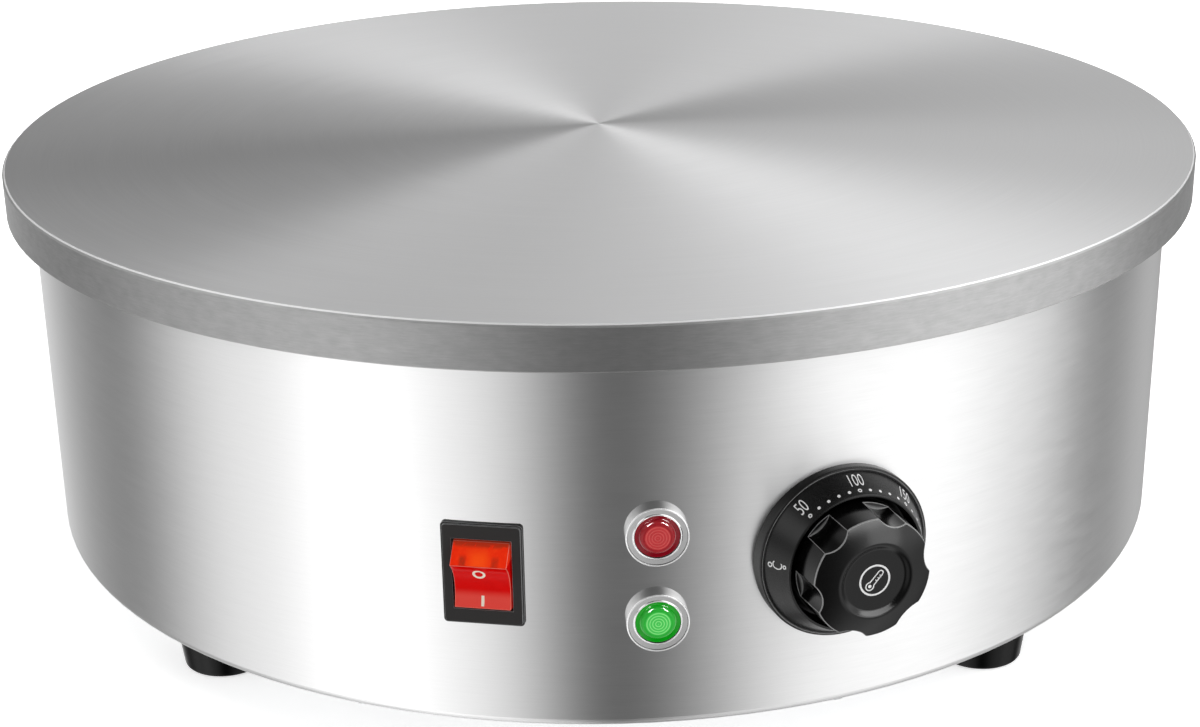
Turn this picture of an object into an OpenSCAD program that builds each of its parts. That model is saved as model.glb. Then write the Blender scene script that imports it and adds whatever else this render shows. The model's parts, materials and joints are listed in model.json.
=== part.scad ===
// Electric crepe maker: a round griddle plate on a sheet-steel drum, with a rocker
// switch, two pilot lamps and a capillary thermostat. Millimetres, +Z up.
// The origin is on the worktop, on the axis of the drum; the controls face -Y.

/* [Griddle plate] */
// Diameter of the cooking plate
plate_d = 400; // [360:1:440]
// Thickness of the plate over the drum
plate_t = 10; // [9:0.5:14]
// Height of the plate's outer rim, which laps over the drum
rim_h = 13.7; // [12:0.1:20]
// Bevel round the top edge of the plate
plate_bevel = 0.9; // [0.3:0.1:2]
// Depth of the stud holes tapped into the underside
stud_depth = 6.5; // [4:0.5:7.5]

/* [Drum] */
// How far the plate's edge stands out past the drum
rim_over = 8.4; // [8:0.1:12]
// Height of the drum that shows under the plate's rim
drum_h = 112.4; // [106:0.1:140]
// Sheet thickness of the drum
drum_t = 1; // [0.8:0.1:1.5]
// Outer radius of the bend at the foot of the drum
bend_r = 3.8; // [2:0.1:4]
// Width of the turned-in flange at the foot of the drum
flange_w = 16; // [14:0.5:18]
// Radial gap between the drum and the plate's rim
lap_gap = 0.5; // [0.3:0.1:1]
// Distance of the plate studs from the drum's face
stud_inset = 14.6; // [12:0.1:17.6]

/* [Base and feet] */
// Sheet thickness of the base plate
base_t = 1; // [0.8:0.1:2]
// Gap from the drum's wall to the edge of the base plate
base_inset = 5.6; // [4:0.1:7]
// Height of a rubber foot under the base plate
foot_h = 14.4; // [12:0.1:20]
// Diameter of a foot where it stands
foot_bottom_d = 26.6; // [22:0.1:27]
// Diameter of a foot under the base plate
foot_top_d = 29.8; // [27:0.1:30]
// Distance from the middle of a foot to the drum's face
foot_inset = 22.8; // [22.6:0.1:32]
// Number of screws that hold the base plate
base_screw_count = 8; // [4:4:8]
// Length of a ventilation slot
vent_l = 30; // [20:1:34]
// Width of a ventilation slot
vent_w = 5; // [3:0.5:6]

/* [Panel] */
// Angle of the lamps from the middle of the two front feet
lamp_az = 5; // [3:0.1:7]
// Angle from the lamps to the switch
switch_turn = 14.4; // [13.8:0.1:18]
// Angle from the lamps to the thermostat dial
dial_turn = 16; // [15:0.1:18]
// Height of the switch above the worktop
switch_z = 64.5; // [58:0.1:66]
// Height of the dial above the worktop
dial_z = 65.6; // [60:0.1:66]
// Height of the red lamp above the worktop
red_z = 77.8; // [74:0.1:78]
// Height of the green lamp above the worktop
green_z = 51.5; // [46:0.1:52]

/* [Rocker switch] */
// Width of the switch bezel
switch_w = 23.2; // [22.6:0.1:26]
// Height of the switch bezel
switch_h = 31; // [30.5:0.1:34]
// Height of the bezel's face off the drum
switch_lip = 2; // [1.8:0.1:2.6]
// Width of the opening for the rocker
rocker_slot_w = 17.1; // [16.8:0.1:17.4]
// Height of the opening for the rocker
rocker_slot_h = 21.6; // [21.4:0.1:23]
// Width of the rocker
rocker_w = 16; // [14:0.1:16.4]
// Tilt of the rocker from its middle to either stop
rocker_tilt = 15; // [12:0.5:15]
// Distance of the rocker's pivot behind the drum's face
pivot_in = 4.6; // [4.4:0.1:4.8]

/* [Pilot lamps] */
// Diameter of the lamp's steel ring
lamp_d = 17.7; // [17:0.1:20]
// Height of the ring's face off the drum
lamp_h = 5.2; // [4:0.1:8]
// Diameter of the lens
lens_d = 12.6; // [11:0.1:13.4]
// Diameter of the threaded barrel behind the ring
barrel_d = 16; // [15.6:0.1:16.4]

/* [Thermostat dial] */
// Diameter of the dial bezel on the drum
bezel_d = 51.8; // [50.4:0.1:58]
// Height of the bezel's raised lip off the drum
bezel_lip = 3.4; // [3:0.1:4]
// Diameter at the foot of the scale cone
cone_bottom_d = 49.2; // [46:0.1:49.4]
// Diameter at the top of the scale cone
cone_top_d = 42; // [41.6:0.1:45]
// Height of the scale cone's top off the drum
cone_h = 10.4; // [9.6:0.1:12]
// Diameter of the well that the knob turns in
well_d = 39.8; // [39:0.1:40]
// Diameter of the knob's skirt
knob_d = 36.6; // [35:0.1:37]
// Height of the knob's front edge off the drum
knob_h = 20.2; // [18:0.1:24]
// Rise of the knob's domed face to the dish
knob_crown = 2; // [0.8:0.1:3]
// Diameter of the dish in the knob's face
dish_d = 20.8; // [16:0.1:24]
// Number of finger hollows round the knob
hollow_count = 6; // [5:1:8]
// Angle of a lobe of the knob when it is off, anticlockwise from the right
lobe_angle = 41; // [0:0.5:60]
// Diameter of the thermostat's shaft
shaft_d = 6; // [5.8:0.1:6.4]

/* [Heating] */
// Diameter of the heating element's tube
tube_d = 8; // [6.5:0.1:8.5]
// Radius of the innermost ring of heating element, as a share of the blanket's
ring_share = 0.3; // [0.28:0.01:0.34]
// Distance from the outermost ring to the edge of the blanket
ring_edge = 18; // [16:0.5:20]
// Bend radius where an element turns down to its terminal
elbow_r = 12; // [10:0.5:14]
// Half the distance between the two ends of an element
leg_half = 9; // [8:0.5:10]
// Thickness of the clamp bars
bar_t = 3; // [2:0.5:4]
// Width of the clamp bars
bar_w = 20; // [16:1:24]
// Thickness of the insulation blanket
blanket_t = 20; // [18:1:22]
// Gap from the drum's face to the insulation blanket
blanket_gap = 33.6; // [30:0.1:38]
// Height of the heat shield's upturned rim
shield_rim = 15; // [10:1:17]

/* [Cable gland] */
// Height of the gland above the worktop
gland_z = 40; // [36:1:60]
// Diameter of the cable that the gland takes
cable_d = 11; // [9:0.1:11.4]
// Diameter of the gland's thread
gland_thread_d = 20; // [19:0.1:20.4]
// Reach of the gland's cap from the drum
gland_reach = 12.4; // [11:0.1:22]

/* [Hidden] */
$fn = 64;
e = 0.01;

// Small fits that several pieces share
seat_gap = 0.1;
thread_gap = 0.05;
hole_gap = 0.25;
turn_gap = 0.05;
pin_gap = 0.08;

// Levels, from the worktop up
base_z = foot_h;
drum_z = base_z + base_t;
rim_z = drum_z + drum_h;
top_z = rim_z + rim_h;
under_z = top_z - plate_t;
tube_z = under_z - seat_gap - tube_d / 2;
bar_z = tube_z - tube_d / 2 - seat_gap - bar_t;
blanket_z = bar_z - seat_gap - blanket_t;
shield_t = 0.8;
shield_z = blanket_z - seat_gap - shield_t;

// Radii of the shells
plate_r = plate_d / 2;
drum_r = plate_r - rim_over;
inner_r = drum_r - drum_t;
base_r = drum_r - base_inset;
flange_in_r = drum_r - flange_w;
base_screw_r = (flange_in_r + base_r) / 2;
plate_stud_circle = drum_r - stud_inset;
foot_circle = drum_r - foot_inset;
support_t = 2;
support_h = 12;
support_in_r = plate_stud_circle - 7;

// Angles of the panel's pieces
switch_az = lamp_az - switch_turn;
dial_az = lamp_az + dial_turn;
gland_az = 180;
foot_angles = [-45, 45, 135, 225];
stud_angles = [0, 90, 180, 270];
bar_angles = [30, 150, 270];
bulb_angle = -30;

// Thread sizes: [shank radius, nut or head radius, nut height]
m4 = [2, 3.8, 2.6];
m5 = [2.5, 4.62, 4];
m6 = [3, 5.77, 5];
washer_t = 1.6;
washer_r = 6.4;

// Radii of the blanket, the shield, the element rings and the stud circles between them
blanket_r = drum_r - blanket_gap;
shield_r = blanket_r + 2;
ring_r = blanket_r * ring_share;
ring_step = (blanket_r - ring_edge - ring_r) / 2;
ring_radii = [for (i = [0 : 2]) ring_r + i * ring_step];
stud_radii = [for (i = [0 : 1]) ring_r + (i + 0.5) * ring_step];

// Ends of the elements: the drop to the leg, the bead and the pin under it
leg_z = tube_z - elbow_r;
leg_end_z = shield_z - 10;
bead_h = 6;
pin_r = 2;
pin_h = 10;
pin_z = leg_end_z - bead_h - pin_h;
clamp_end_z = shield_z - m6[2] - 2;
// Loss of diameter where the tube is bent
elbow_thin = 0.2;
// Reach of the ring and of the legs over the ends of the bend
elbow_lap = 1;
// Room that a hole in the blanket leaves for the bend above it
elbow_room = 2.2;
// Where the capillary drops through the blanket and the shield
drop_at = (ring_radii[1] - 8) * [cos(-66), sin(-66)];

// Rocker profile about its pivot, upright: crest and end of each half
crest = [7.64, 9.96];
heel = [11.24, 3.3];
face_dip = 2.7;
trunnion_r = 1.5;
rocker_foot = 2.5;
housing_w = rocker_slot_w + 3.6;
housing_h = 28.2;
housing_depth = 20;
cavity_h = 26.6;
cavity_depth = 11;
slot_lip = 0.9;
tab_l = 9;
tab_w = 6.3;
tab_t = 0.8;
tab_x = 5;
tab_y = 7;

// Dial bezel and knob
bezel_floor = 3;
knob_foot = bezel_floor + m4[2] + 0.4;
ledge_h = 9.5;
hollow_r = 7.7;
hollow_depth = 2;
knob_wall = 3.8;
knob_top_r = knob_d / 2 - 0.5;
lip_r = dish_d / 2;
dish_depth = 0.9;
boss_r = 5.6;
shaft_flat = 1;
shaft_tip = knob_h - 3.5;
tip_gap = 0.4;

// Thermostat and its screws
collar_top = 1.6;
round_end = 4;
plate_lug_t = 1.5;
body_w = 40;
body_h = 36;
body_depth = 34;
terminal_x = 13;
terminal_drop = 12;
screw_span = 28;
body_face = wall_sag(body_w / 2) + seat_gap;
capsule_r = 15;
capsule_h = 4;
body_back = body_face + plate_lug_t + body_depth;
clip_half = 11;
clip_t = 1.5;

// Pilot lamps
lamp_barrel = 20;
lamp_nut_r = 10.4;
lamp_nut_h = 3.5;
lens_seat = 1.6;

// Cable gland
gland_hex_r = 13.4;
gland_hex_h = 4.6;
gland_barrel = 11;
gland_nut_h = 4.5;
seal_wall = 1.6;
seal_r = cable_d / 2 + seal_wall;
seal_bottom = 1;
seal_top = gland_reach - 1.8;
nose_r = seal_r + seat_gap + 1.2;

// Terminal block and earth stud on the base plate
block_size = [46, 22, 20];
block_y = drum_r - 63.6;
pole_x = 14;
pole_z = drum_z + block_size[2] / 2;
pole_screw_r = 3.1;
pole_screw_h = 4;
block_well_z = drum_z + 0.6 * block_size[2];
block_seat_z = drum_z + 0.4 * block_size[2];
earth_at = [-0.303, 0.585] * drum_r;
vent_radii = [0.313, 0.438] * drum_r;
vent_count = [8, 12];
screw_reach = 6;
lug_r = 5.4;
lug_t = 1.2;
bulb_l = 70;
bulb_r = 3;
wire_r = 1.5;
sleeve_l = 8;
sleeve_r = 2.3;
stub_l = 5;

// Depth of the drum's inner face behind its front face, at x to the side
function wall_sag(x) = drum_r - sqrt(inner_r * inner_r - x * x);

// Point on the panel: x to the right, z up, s out from the drum's face
function panel_pt(az, x, z, s) =
    [(drum_r + s) * sin(az) + x * cos(az), x * sin(az) - (drum_r + s) * cos(az), z];

// Point inside the drum: x and y in hundredths of its radius, z in hundredths of its height
function inside(x, y, z) = [x * drum_r, y * drum_r, 100 * drum_z + z * drum_h] / 100;

// Points of an arc from angle a0 to a1 in n steps
function arc(c, r, a0, a1, n) =
    [for (i = [0 : n]) let(a = a0 + (a1 - a0) * i / n) c + r * [cos(a), sin(a)]];

// Children on the drum: their Z points out, their Y up
module on_drum(az, z) {
    rotate([0, 0, az]) translate([0, -drum_r, z]) rotate([90, 0, 0]) children();
}

// Children stood at each angle, at one radius
module at_circle(angles, r, z = 0) {
    for (a = angles) rotate([0, 0, a]) translate([r, 0, z]) children();
}

// Children with what reaches into the drum cut away, so that they sit on its face
module seated_on_drum() {
    difference() {
        children();
        cylinder(r = drum_r + seat_gap, h = top_z, $fn = 360);
    }
}

module box_on_z(size, z = 0) {
    translate([-size[0] / 2, -size[1] / 2, z]) cube(size);
}

module tube(r_out, r_in, h) {
    difference() {
        cylinder(r = r_out, h = h);
        translate([0, 0, -1]) cylinder(r = r_in, h = h + 2);
    }
}

module hex_nut(size, h, bore) {
    difference() {
        cylinder(r = size, h = h, $fn = 6);
        translate([0, 0, -1]) cylinder(r = bore, h = h + 2, $fn = 32);
    }
}

// Round-cornered plate, centred, standing on z = 0
module rounded_plate(w, h, t, r) {
    translate([-w / 2 + r, -h / 2, 0]) cube([w - 2 * r, h, t]);
    translate([-w / 2, -h / 2 + r, 0]) cube([w, h - 2 * r, t]);
    for (x = [-1, 1], y = [-1, 1])
        translate([x * (w / 2 - r), y * (h / 2 - r), 0]) cylinder(r = r, h = t, $fn = 32);
}

// ---- Griddle plate and drum ----

module griddle_plate() {
    rim_in_r = drum_r + lap_gap;
    color("silver") difference() {
        rotate_extrude($fn = 180) polygon([
            [0, under_z], [rim_in_r, under_z], [rim_in_r, rim_z], [plate_r - 0.4, rim_z],
            [plate_r, rim_z + 0.4], [plate_r, top_z - plate_bevel],
            [plate_r - plate_bevel, top_z], [0, top_z]]);
        at_circle(stud_angles, plate_stud_circle, under_z - 1)
            cylinder(r = m6[0] + thread_gap, h = stud_depth + 1);
        for (r = stud_radii) at_circle(bar_angles, r, under_z - 1)
            cylinder(r = m6[0] + thread_gap, h = stud_depth + 1);
        at_clip_screws(under_z - 1) cylinder(r = m4[0] + thread_gap, h = stud_depth + 1);
    }
}

module drum_profile() {
    bend_in = bend_r - drum_t;
    polygon(concat(
        [[inner_r, under_z], [drum_r, under_z]],
        arc([drum_r - bend_r, drum_z + bend_r], bend_r, 0, -90, 8),
        [[flange_in_r, drum_z], [flange_in_r, drum_z + drum_t]],
        arc([drum_r - bend_r, drum_z + bend_r], bend_in, -90, 0, 6)));
}

module drum_shell() {
    color("gainsboro") difference() {
        rotate_extrude($fn = 180) drum_profile();
        on_drum(switch_az, switch_z)
            box_on_z([housing_w + 2 * hole_gap, housing_h + 2 * hole_gap, 12], -8);
        for (z = [red_z, green_z]) on_drum(lamp_az, z)
            translate([0, 0, -8]) cylinder(r = barrel_d / 2 + hole_gap, h = 12);
        on_drum(dial_az, dial_z) {
            translate([0, 0, -8]) cylinder(r = 5.4, h = 12);
            at_screw_span() translate([0, 0, -8]) cylinder(r = m4[0] + hole_gap, h = 12);
        }
        on_drum(gland_az, gland_z)
            translate([0, 0, -8]) cylinder(r = gland_thread_d / 2 + hole_gap, h = 12);
        at_base_screws(drum_z - 1) cylinder(r = m4[0] + thread_gap, h = drum_t + 2);
    }
}

// Angle ring welded inside the drum's top edge, which carries the plate
module support_ring() {
    leg_r = inner_r - seat_gap;
    color("darkgray") difference() {
        rotate_extrude($fn = 180) polygon([
            [support_in_r, under_z - support_t], [leg_r - support_t, under_z - support_t],
            [leg_r - support_t, under_z - support_h], [leg_r, under_z - support_h],
            [leg_r, under_z], [support_in_r, under_z]]);
        at_circle(stud_angles, plate_stud_circle, under_z - support_t - 1)
            cylinder(r = m6[0] + hole_gap, h = support_t + 2);
    }
}

module plate_studs() {
    reach = support_t + washer_t + m6[2] + 2;
    color("dimgray") at_circle(stud_angles, plate_stud_circle, under_z - reach)
        cylinder(r = m6[0], h = reach + stud_depth);
}

module plate_washers() {
    color("silver") at_circle(stud_angles, plate_stud_circle, under_z - support_t - washer_t)
        tube(washer_r, m6[0] + hole_gap, washer_t);
}

module plate_nuts() {
    color("silver") at_circle(stud_angles, plate_stud_circle,
        under_z - support_t - washer_t - m6[2])
        hex_nut(m6[1], m6[2], m6[0] + thread_gap);
}

// ---- Base and feet ----

module at_base_screws(z) {
    step = 360 / base_screw_count;
    at_circle([for (i = [0 : base_screw_count - 1]) (i + 0.5) * step], base_screw_r, z)
        children();
}

module at_feet(z) {
    for (a = foot_angles) rotate([0, 0, a]) translate([0, -foot_circle, z]) children();
}

module vent_slot() {
    run = vent_l - vent_w;
    translate([-run / 2, -vent_w / 2, 0]) cube([run, vent_w, base_t + 2]);
    for (x = [-1, 1]) translate([x * run / 2, 0, 0])
        cylinder(r = vent_w / 2, h = base_t + 2, $fn = 24);
}

module base_plate() {
    color("lightgray") difference() {
        translate([0, 0, base_z]) cylinder(r = base_r, h = base_t, $fn = 180);
        at_feet(base_z - 1) cylinder(r = m5[0] + hole_gap, h = base_t + 2);
        at_base_screws(base_z - 1) cylinder(r = m4[0] + hole_gap, h = base_t + 2);
        for (i = [0, 1], k = [0 : vent_count[i] - 1]) rotate([0, 0, k * 360 / vent_count[i]])
            translate([0, -vent_radii[i], base_z - 1]) vent_slot();
        at_block_screws(base_z - 1) cylinder(r = m4[0] + hole_gap, h = base_t + 2);
        translate([earth_at[0], earth_at[1], base_z - 1])
            cylinder(r = m5[0] + hole_gap, h = base_t + 2);
    }
}

module pan_screw(size, grip) {
    translate([0, 0, -size[2]]) cylinder(r1 = size[1] * 0.8, r2 = size[1], h = size[2]);
    translate([0, 0, -e]) cylinder(r = size[0], h = grip + e);
}

module base_screws() {
    color("silver") at_base_screws(base_z) pan_screw(m4, base_t + drum_t + screw_reach);
}

// A tapered rubber foot with a well for its screw's head
module foot(i) {
    well_r = 6.4;
    well_z = foot_h / 2;
    r0 = foot_bottom_d / 2;
    r1 = foot_top_d / 2;
    edge = 1.4;
    color("#1a1a1a") rotate([0, 0, foot_angles[i]]) translate([0, -foot_circle, 0])
        rotate_extrude() polygon(concat(
            [[well_r, 0]],
            arc([r0 - edge, edge], edge, -90, 0, 4),
            [[r1, foot_h], [m5[0] + hole_gap, foot_h], [m5[0] + hole_gap, well_z],
            [well_r, well_z]]));
}

module foot_screws() {
    color("silver") at_feet(foot_h / 2)
        pan_screw([m5[0], 4.8, 3.4], foot_h / 2 + base_t + m5[2] + 2);
}

module foot_nuts() {
    color("silver") at_feet(drum_z) hex_nut(m5[1], m5[2], m5[0] + thread_gap);
}

// ---- Heating ----

// Half-angle of the opening that the turned-down ends of one ring leave
function ring_gap(r) = atan(elbow_r / r) + asin(leg_half / sqrt(r * r + elbow_r * elbow_r));

module element(r) {
    gap = ring_gap(r);
    end = gap - elbow_lap / r * 180 / PI;
    color("#4a4642") {
        translate([0, 0, tube_z]) rotate([0, 0, 90 + end])
            rotate_extrude(angle = 360 - 2 * end, $fn = 180)
                translate([r, 0]) circle(d = tube_d, $fn = 32);
        for (side = [-1, 1]) mirror([side > 0 ? 1 : 0, 0, 0]) rotate([0, 0, gap])
            translate([0, r, leg_z]) rotate([90, 0, 0])
                rotate_extrude(angle = 90, $fn = 64) translate([elbow_r, 0])
                    circle(d = tube_d - elbow_thin, $fn = 32);
        at_legs(r, leg_end_z)
            cylinder(d = tube_d, h = leg_z + elbow_lap - leg_end_z, $fn = 32);
    }
}

// Distance of the legs of ring r from the middle
function leg_y(r) = sqrt(r * r + elbow_r * elbow_r - leg_half * leg_half);

module at_legs(r, z) {
    for (x = [-1, 1]) translate([x * leg_half, leg_y(r), z]) children();
}

module element_beads() {
    color("ivory") for (r = ring_radii) at_legs(r, leg_end_z - bead_h)
        tube(tube_d / 2 + 1, pin_r + seat_gap, bead_h);
}

module element_pins() {
    color("silver") for (r = ring_radii) at_legs(r, pin_z)
        cylinder(r = pin_r, h = bead_h + pin_h, $fn = 32);
}

module clamp_bars() {
    from_r = ring_r - 15;
    to_r = ring_radii[2] + 14;
    color("darkgray") difference() {
        for (a = bar_angles) rotate([0, 0, a])
            translate([from_r, -bar_w / 2, bar_z]) cube([to_r - from_r, bar_w, bar_t]);
        for (r = stud_radii) at_circle(bar_angles, r, bar_z - 1)
            cylinder(r = m6[0] + hole_gap, h = bar_t + 2);
    }
}

module clamp_studs() {
    color("dimgray") for (r = stud_radii) at_circle(bar_angles, r, clamp_end_z)
        cylinder(r = m6[0], h = under_z + stud_depth - clamp_end_z);
}

module clamp_nuts() {
    color("silver") for (r = stud_radii, z = [bar_z - m6[2], shield_z - m6[2]])
        at_circle(bar_angles, r, z) hex_nut(m6[1], m6[2], m6[0] + thread_gap);
}

module insulation_blanket() {
    color("whitesmoke") difference() {
        translate([0, 0, blanket_z]) cylinder(r = blanket_r, h = blanket_t, $fn = 180);
        for (r = stud_radii) at_circle(bar_angles, r, blanket_z - 1)
            cylinder(r = m6[1] + 0.6, h = blanket_t + 2);
        for (r = ring_radii) at_legs(r, blanket_z - 1)
            cylinder(r = tube_d / 2 + elbow_room, h = blanket_t + 2);
        translate([drop_at[0], drop_at[1], blanket_z - 1]) cylinder(r = 4, h = blanket_t + 2);
    }
}

module heat_shield() {
    color("lightgray") difference() {
        translate([0, 0, shield_z]) cylinder(r = shield_r, h = shield_t + shield_rim, $fn = 180);
        translate([0, 0, shield_z + shield_t])
            cylinder(r = shield_r - shield_t, h = shield_rim + 1, $fn = 180);
        for (r = stud_radii) at_circle(bar_angles, r, shield_z - 1)
            cylinder(r = m6[0] + hole_gap, h = 3);
        for (r = ring_radii) at_legs(r, shield_z - 1)
            cylinder(r = tube_d / 2 + 0.6, h = 3);
        translate([drop_at[0], drop_at[1], shield_z - 1]) cylinder(r = 3, h = 3);
    }
}

// ---- Thermostat ----

module at_screw_span() {
    for (x = [-1, 1]) translate([x * screw_span / 2, 0, 0]) children();
}

module dial_bezel() {
    color("#171717") difference() {
        seated_on_drum() on_drum(dial_az, dial_z) translate([0, 0, -6])
            rotate_extrude($fn = 120) polygon([
                [0, 0], [bezel_d / 2, 0], [bezel_d / 2, 6 + bezel_lip - 0.3],
                [bezel_d / 2 - 0.3, 6 + bezel_lip], [cone_bottom_d / 2, 6 + bezel_lip - 0.8],
                [cone_top_d / 2, 6 + cone_h - 0.8], [cone_top_d / 2 - 0.8, 6 + cone_h],
                [well_d / 2 + 0.2, 6 + cone_h], [well_d / 2, 6 + cone_h - 0.2],
                [well_d / 2, 6 + bezel_floor], [0, 6 + bezel_floor]]);
        on_drum(dial_az, dial_z) {
            translate([0, 0, -8]) cylinder(r = 5, h = 20);
            at_screw_span() translate([0, 0, -8]) cylinder(r = m4[0] + hole_gap, h = 20);
        }
    }
}

module knob_body() {
    edge = 0.5;
    crown_z = knob_h + knob_crown;
    rotate_extrude($fn = 120) polygon(concat(
        [[0, knob_foot], [knob_d / 2, knob_foot]],
        arc([knob_top_r - edge, knob_h - edge], edge, 0, 70, 4),
        [[(knob_top_r + lip_r) / 2, knob_h + knob_crown * 0.62], [lip_r + 1.2, crown_z],
        [lip_r, crown_z - 0.15], [lip_r - 0.8, crown_z - dish_depth + 0.2],
        [lip_r - 1.8, crown_z - dish_depth], [0, crown_z - dish_depth]]));
}

module control_knob() {
    hollow_at = knob_top_r - hollow_depth + hollow_r;
    step = 360 / hollow_count;
    color("#141414") on_drum(dial_az, dial_z) difference() {
        knob_body();
        at_circle([for (i = [0 : hollow_count - 1]) lobe_angle + (i + 0.5) * step],
            hollow_at, ledge_h) cylinder(r1 = hollow_r - 0.5, r2 = hollow_r + 0.1, h = 14);
        translate([0, 0, knob_foot - 1])
            tube(knob_d / 2 - knob_wall, boss_r, knob_h - knob_foot - 3);
        difference() {
            translate([0, 0, knob_foot - 1])
                cylinder(r = shaft_d / 2 + thread_gap, h = shaft_tip - knob_foot + 1);
            shaft_flat_box(thread_gap);
        }
    }
}

// What is milled off the shaft for its flat
module shaft_flat_box(gap = 0) {
    rotate([0, 0, lobe_angle])
        translate([shaft_d / 2 - shaft_flat + gap, -shaft_d, round_end])
            cube([shaft_d, 2 * shaft_d, shaft_tip]);
}

module thermostat_shaft() {
    socket = body_face + 4;
    color("silver") on_drum(dial_az, dial_z) difference() {
        translate([0, 0, -socket]) cylinder(d = shaft_d, h = socket + shaft_tip - tip_gap);
        shaft_flat_box();
    }
}

module thermostat_body() {
    color("burlywood") on_drum(dial_az, dial_z) difference() {
        union() {
            box_on_z([body_w, body_h, plate_lug_t], -body_face - plate_lug_t);
            box_on_z([body_w - 4, body_h - 2, body_depth], -body_back);
            translate([0, 0, -body_face]) cylinder(r = 4.6, h = body_face + collar_top);
            translate([0, 0, -body_back - capsule_h]) cylinder(r = capsule_r, h = capsule_h);
        }
        translate([0, 0, -body_face - 4.2])
            cylinder(d = shaft_d + 2 * turn_gap, h = body_face + 12);
        at_screw_span() translate([0, 0, -body_face - 9])
            cylinder(r = m4[0] + thread_gap, h = 12);
    }
}

module thermostat_screws() {
    color("silver") on_drum(dial_az, dial_z) at_screw_span() {
        translate([0, 0, bezel_floor]) cylinder(r1 = m4[1], r2 = m4[1] * 0.8, h = m4[2]);
        translate([0, 0, -body_face - 8])
            cylinder(r = m4[0], h = body_face + 8 + bezel_floor + e);
    }
}

module at_bulb() {
    rotate([0, 0, bulb_angle]) translate([stud_radii[0], 0, under_z - seat_gap - bulb_r])
        rotate([90, 0, 0]) children();
}

module sensing_bulb() {
    color("#b87333") at_bulb() translate([0, 0, -bulb_l / 2]) cylinder(r = bulb_r, h = bulb_l);
}

module at_clip_screws(z) {
    for (x = [-1, 1]) rotate([0, 0, bulb_angle])
        translate([stud_radii[0] + x * clip_half, 0, z]) children();
}

module bulb_clip() {
    deep = 2 * bulb_r + seat_gap + clip_t;
    color("silver") difference() {
        rotate([0, 0, bulb_angle]) translate([stud_radii[0], 0, 0]) {
            box_on_z([2 * bulb_r + 3, 14, deep], under_z - deep);
            box_on_z([2 * clip_half + 9, 14, clip_t], under_z - clip_t);
        }
        at_bulb() translate([0, 0, -20]) cylinder(r = bulb_r + seat_gap, h = 40);
        rotate([0, 0, bulb_angle]) translate([stud_radii[0], 0, 0])
            box_on_z([2 * (bulb_r + seat_gap), 16, bulb_r + 2], under_z - bulb_r - seat_gap);
        at_clip_screws(under_z - 3) cylinder(r = m4[0] + hole_gap, h = 4);
    }
}

module bulb_clip_screws() {
    color("silver") at_clip_screws(under_z - clip_t) pan_screw([m4[0], 3.4, 2.2], clip_t + screw_reach);
}

// ---- Rocker switch ----

module switch_frame() {
    on_drum(switch_az, switch_z) children();
}

module switch_housing() {
    color("#1c1c1c") difference() {
        union() {
            seated_on_drum() switch_frame() translate([0, 0, -2]) {
                rounded_plate(switch_w, switch_h, switch_lip + 1.5, 1.2);
                rounded_plate(switch_w - 1, switch_h - 1, switch_lip + 2, 1);
            }
            switch_frame() {
                box_on_z([housing_w, housing_h, housing_depth + 0.6], -housing_depth);
                for (x = [-1, 1]) translate([x * housing_w / 2, 0, -6.5])
                    rotate([0, 0, x > 0 ? 0 : 180]) translate([-0.5, -4, 0])
                        cube([1.2, 8, 4.6]);
            }
        }
        switch_frame() {
            box_on_z([rocker_slot_w, rocker_slot_h, 8], switch_lip - slot_lip - 1);
            box_on_z([rocker_slot_w, cavity_h, cavity_depth + switch_lip - slot_lip],
                -cavity_depth);
            translate([-20, 0, -pivot_in]) rotate([0, 90, 0])
                cylinder(r = trunnion_r + pin_gap, h = 40, $fn = 48);
        }
    }
}

// The rocker's outline about its pivot: a hollow face between two crests
function rocker_outline() = let(
    half = crest[0],
    face_r = (half * half + face_dip * face_dip) / (2 * face_dip),
    face_c = crest[1] - face_dip + face_r,
    sweep = asin(half / face_r))
    concat(
        [[-heel[0], heel[1]], [-heel[0] + 0.3, 0], [-7, -rocker_foot], [7, -rocker_foot],
        [heel[0] - 0.3, 0], heel],
        arc([0, face_c], face_r, -90 + sweep, -90 - sweep, 14));

module rocker() {
    color("#e01a10") switch_frame() translate([0, 0, -pivot_in]) {
        rotate([rocker_tilt, 0, 0]) rotate([90, 0, 90])
            translate([0, 0, -rocker_w / 2]) linear_extrude(rocker_w)
                polygon(rocker_outline());
        rotate([0, 90, 0]) translate([0, 0, -housing_w / 2 + 0.3])
            cylinder(r = trunnion_r, h = housing_w - 0.6, $fn = 48);
    }
}

module switch_tabs() {
    color("goldenrod") switch_frame() for (x = [-1, 1], y = [-1, 1])
        translate([x * tab_x, y * tab_y, 0])
            box_on_z([tab_t, tab_w, tab_l], -housing_depth - tab_l);
}

// ---- Pilot lamps ----

module lamp_ring(z) {
    r = lamp_d / 2;
    color("silver") difference() {
        union() {
            seated_on_drum() on_drum(lamp_az, z) translate([0, 0, -2])
                rotate_extrude() polygon([
                    [0, 0], [r, 0], [r, lamp_h + 1.6], [r - 0.4, lamp_h + 2],
                    [r - 0.9, lamp_h + 2], [lens_d / 2 + 0.5, lamp_h + 1.3],
                    [0, lamp_h + 1.3]]);
            on_drum(lamp_az, z) translate([0, 0, -lamp_barrel])
                cylinder(r = barrel_d / 2, h = lamp_barrel + 0.6);
        }
        on_drum(lamp_az, z) {
            translate([0, 0, lens_seat]) cylinder(r = lens_d / 2 + seat_gap, h = lamp_h);
            translate([0, 0, -lamp_barrel - 1])
                cylinder(r = lens_d / 2 - 0.8, h = lamp_barrel + 4);
        }
    }
}

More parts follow.
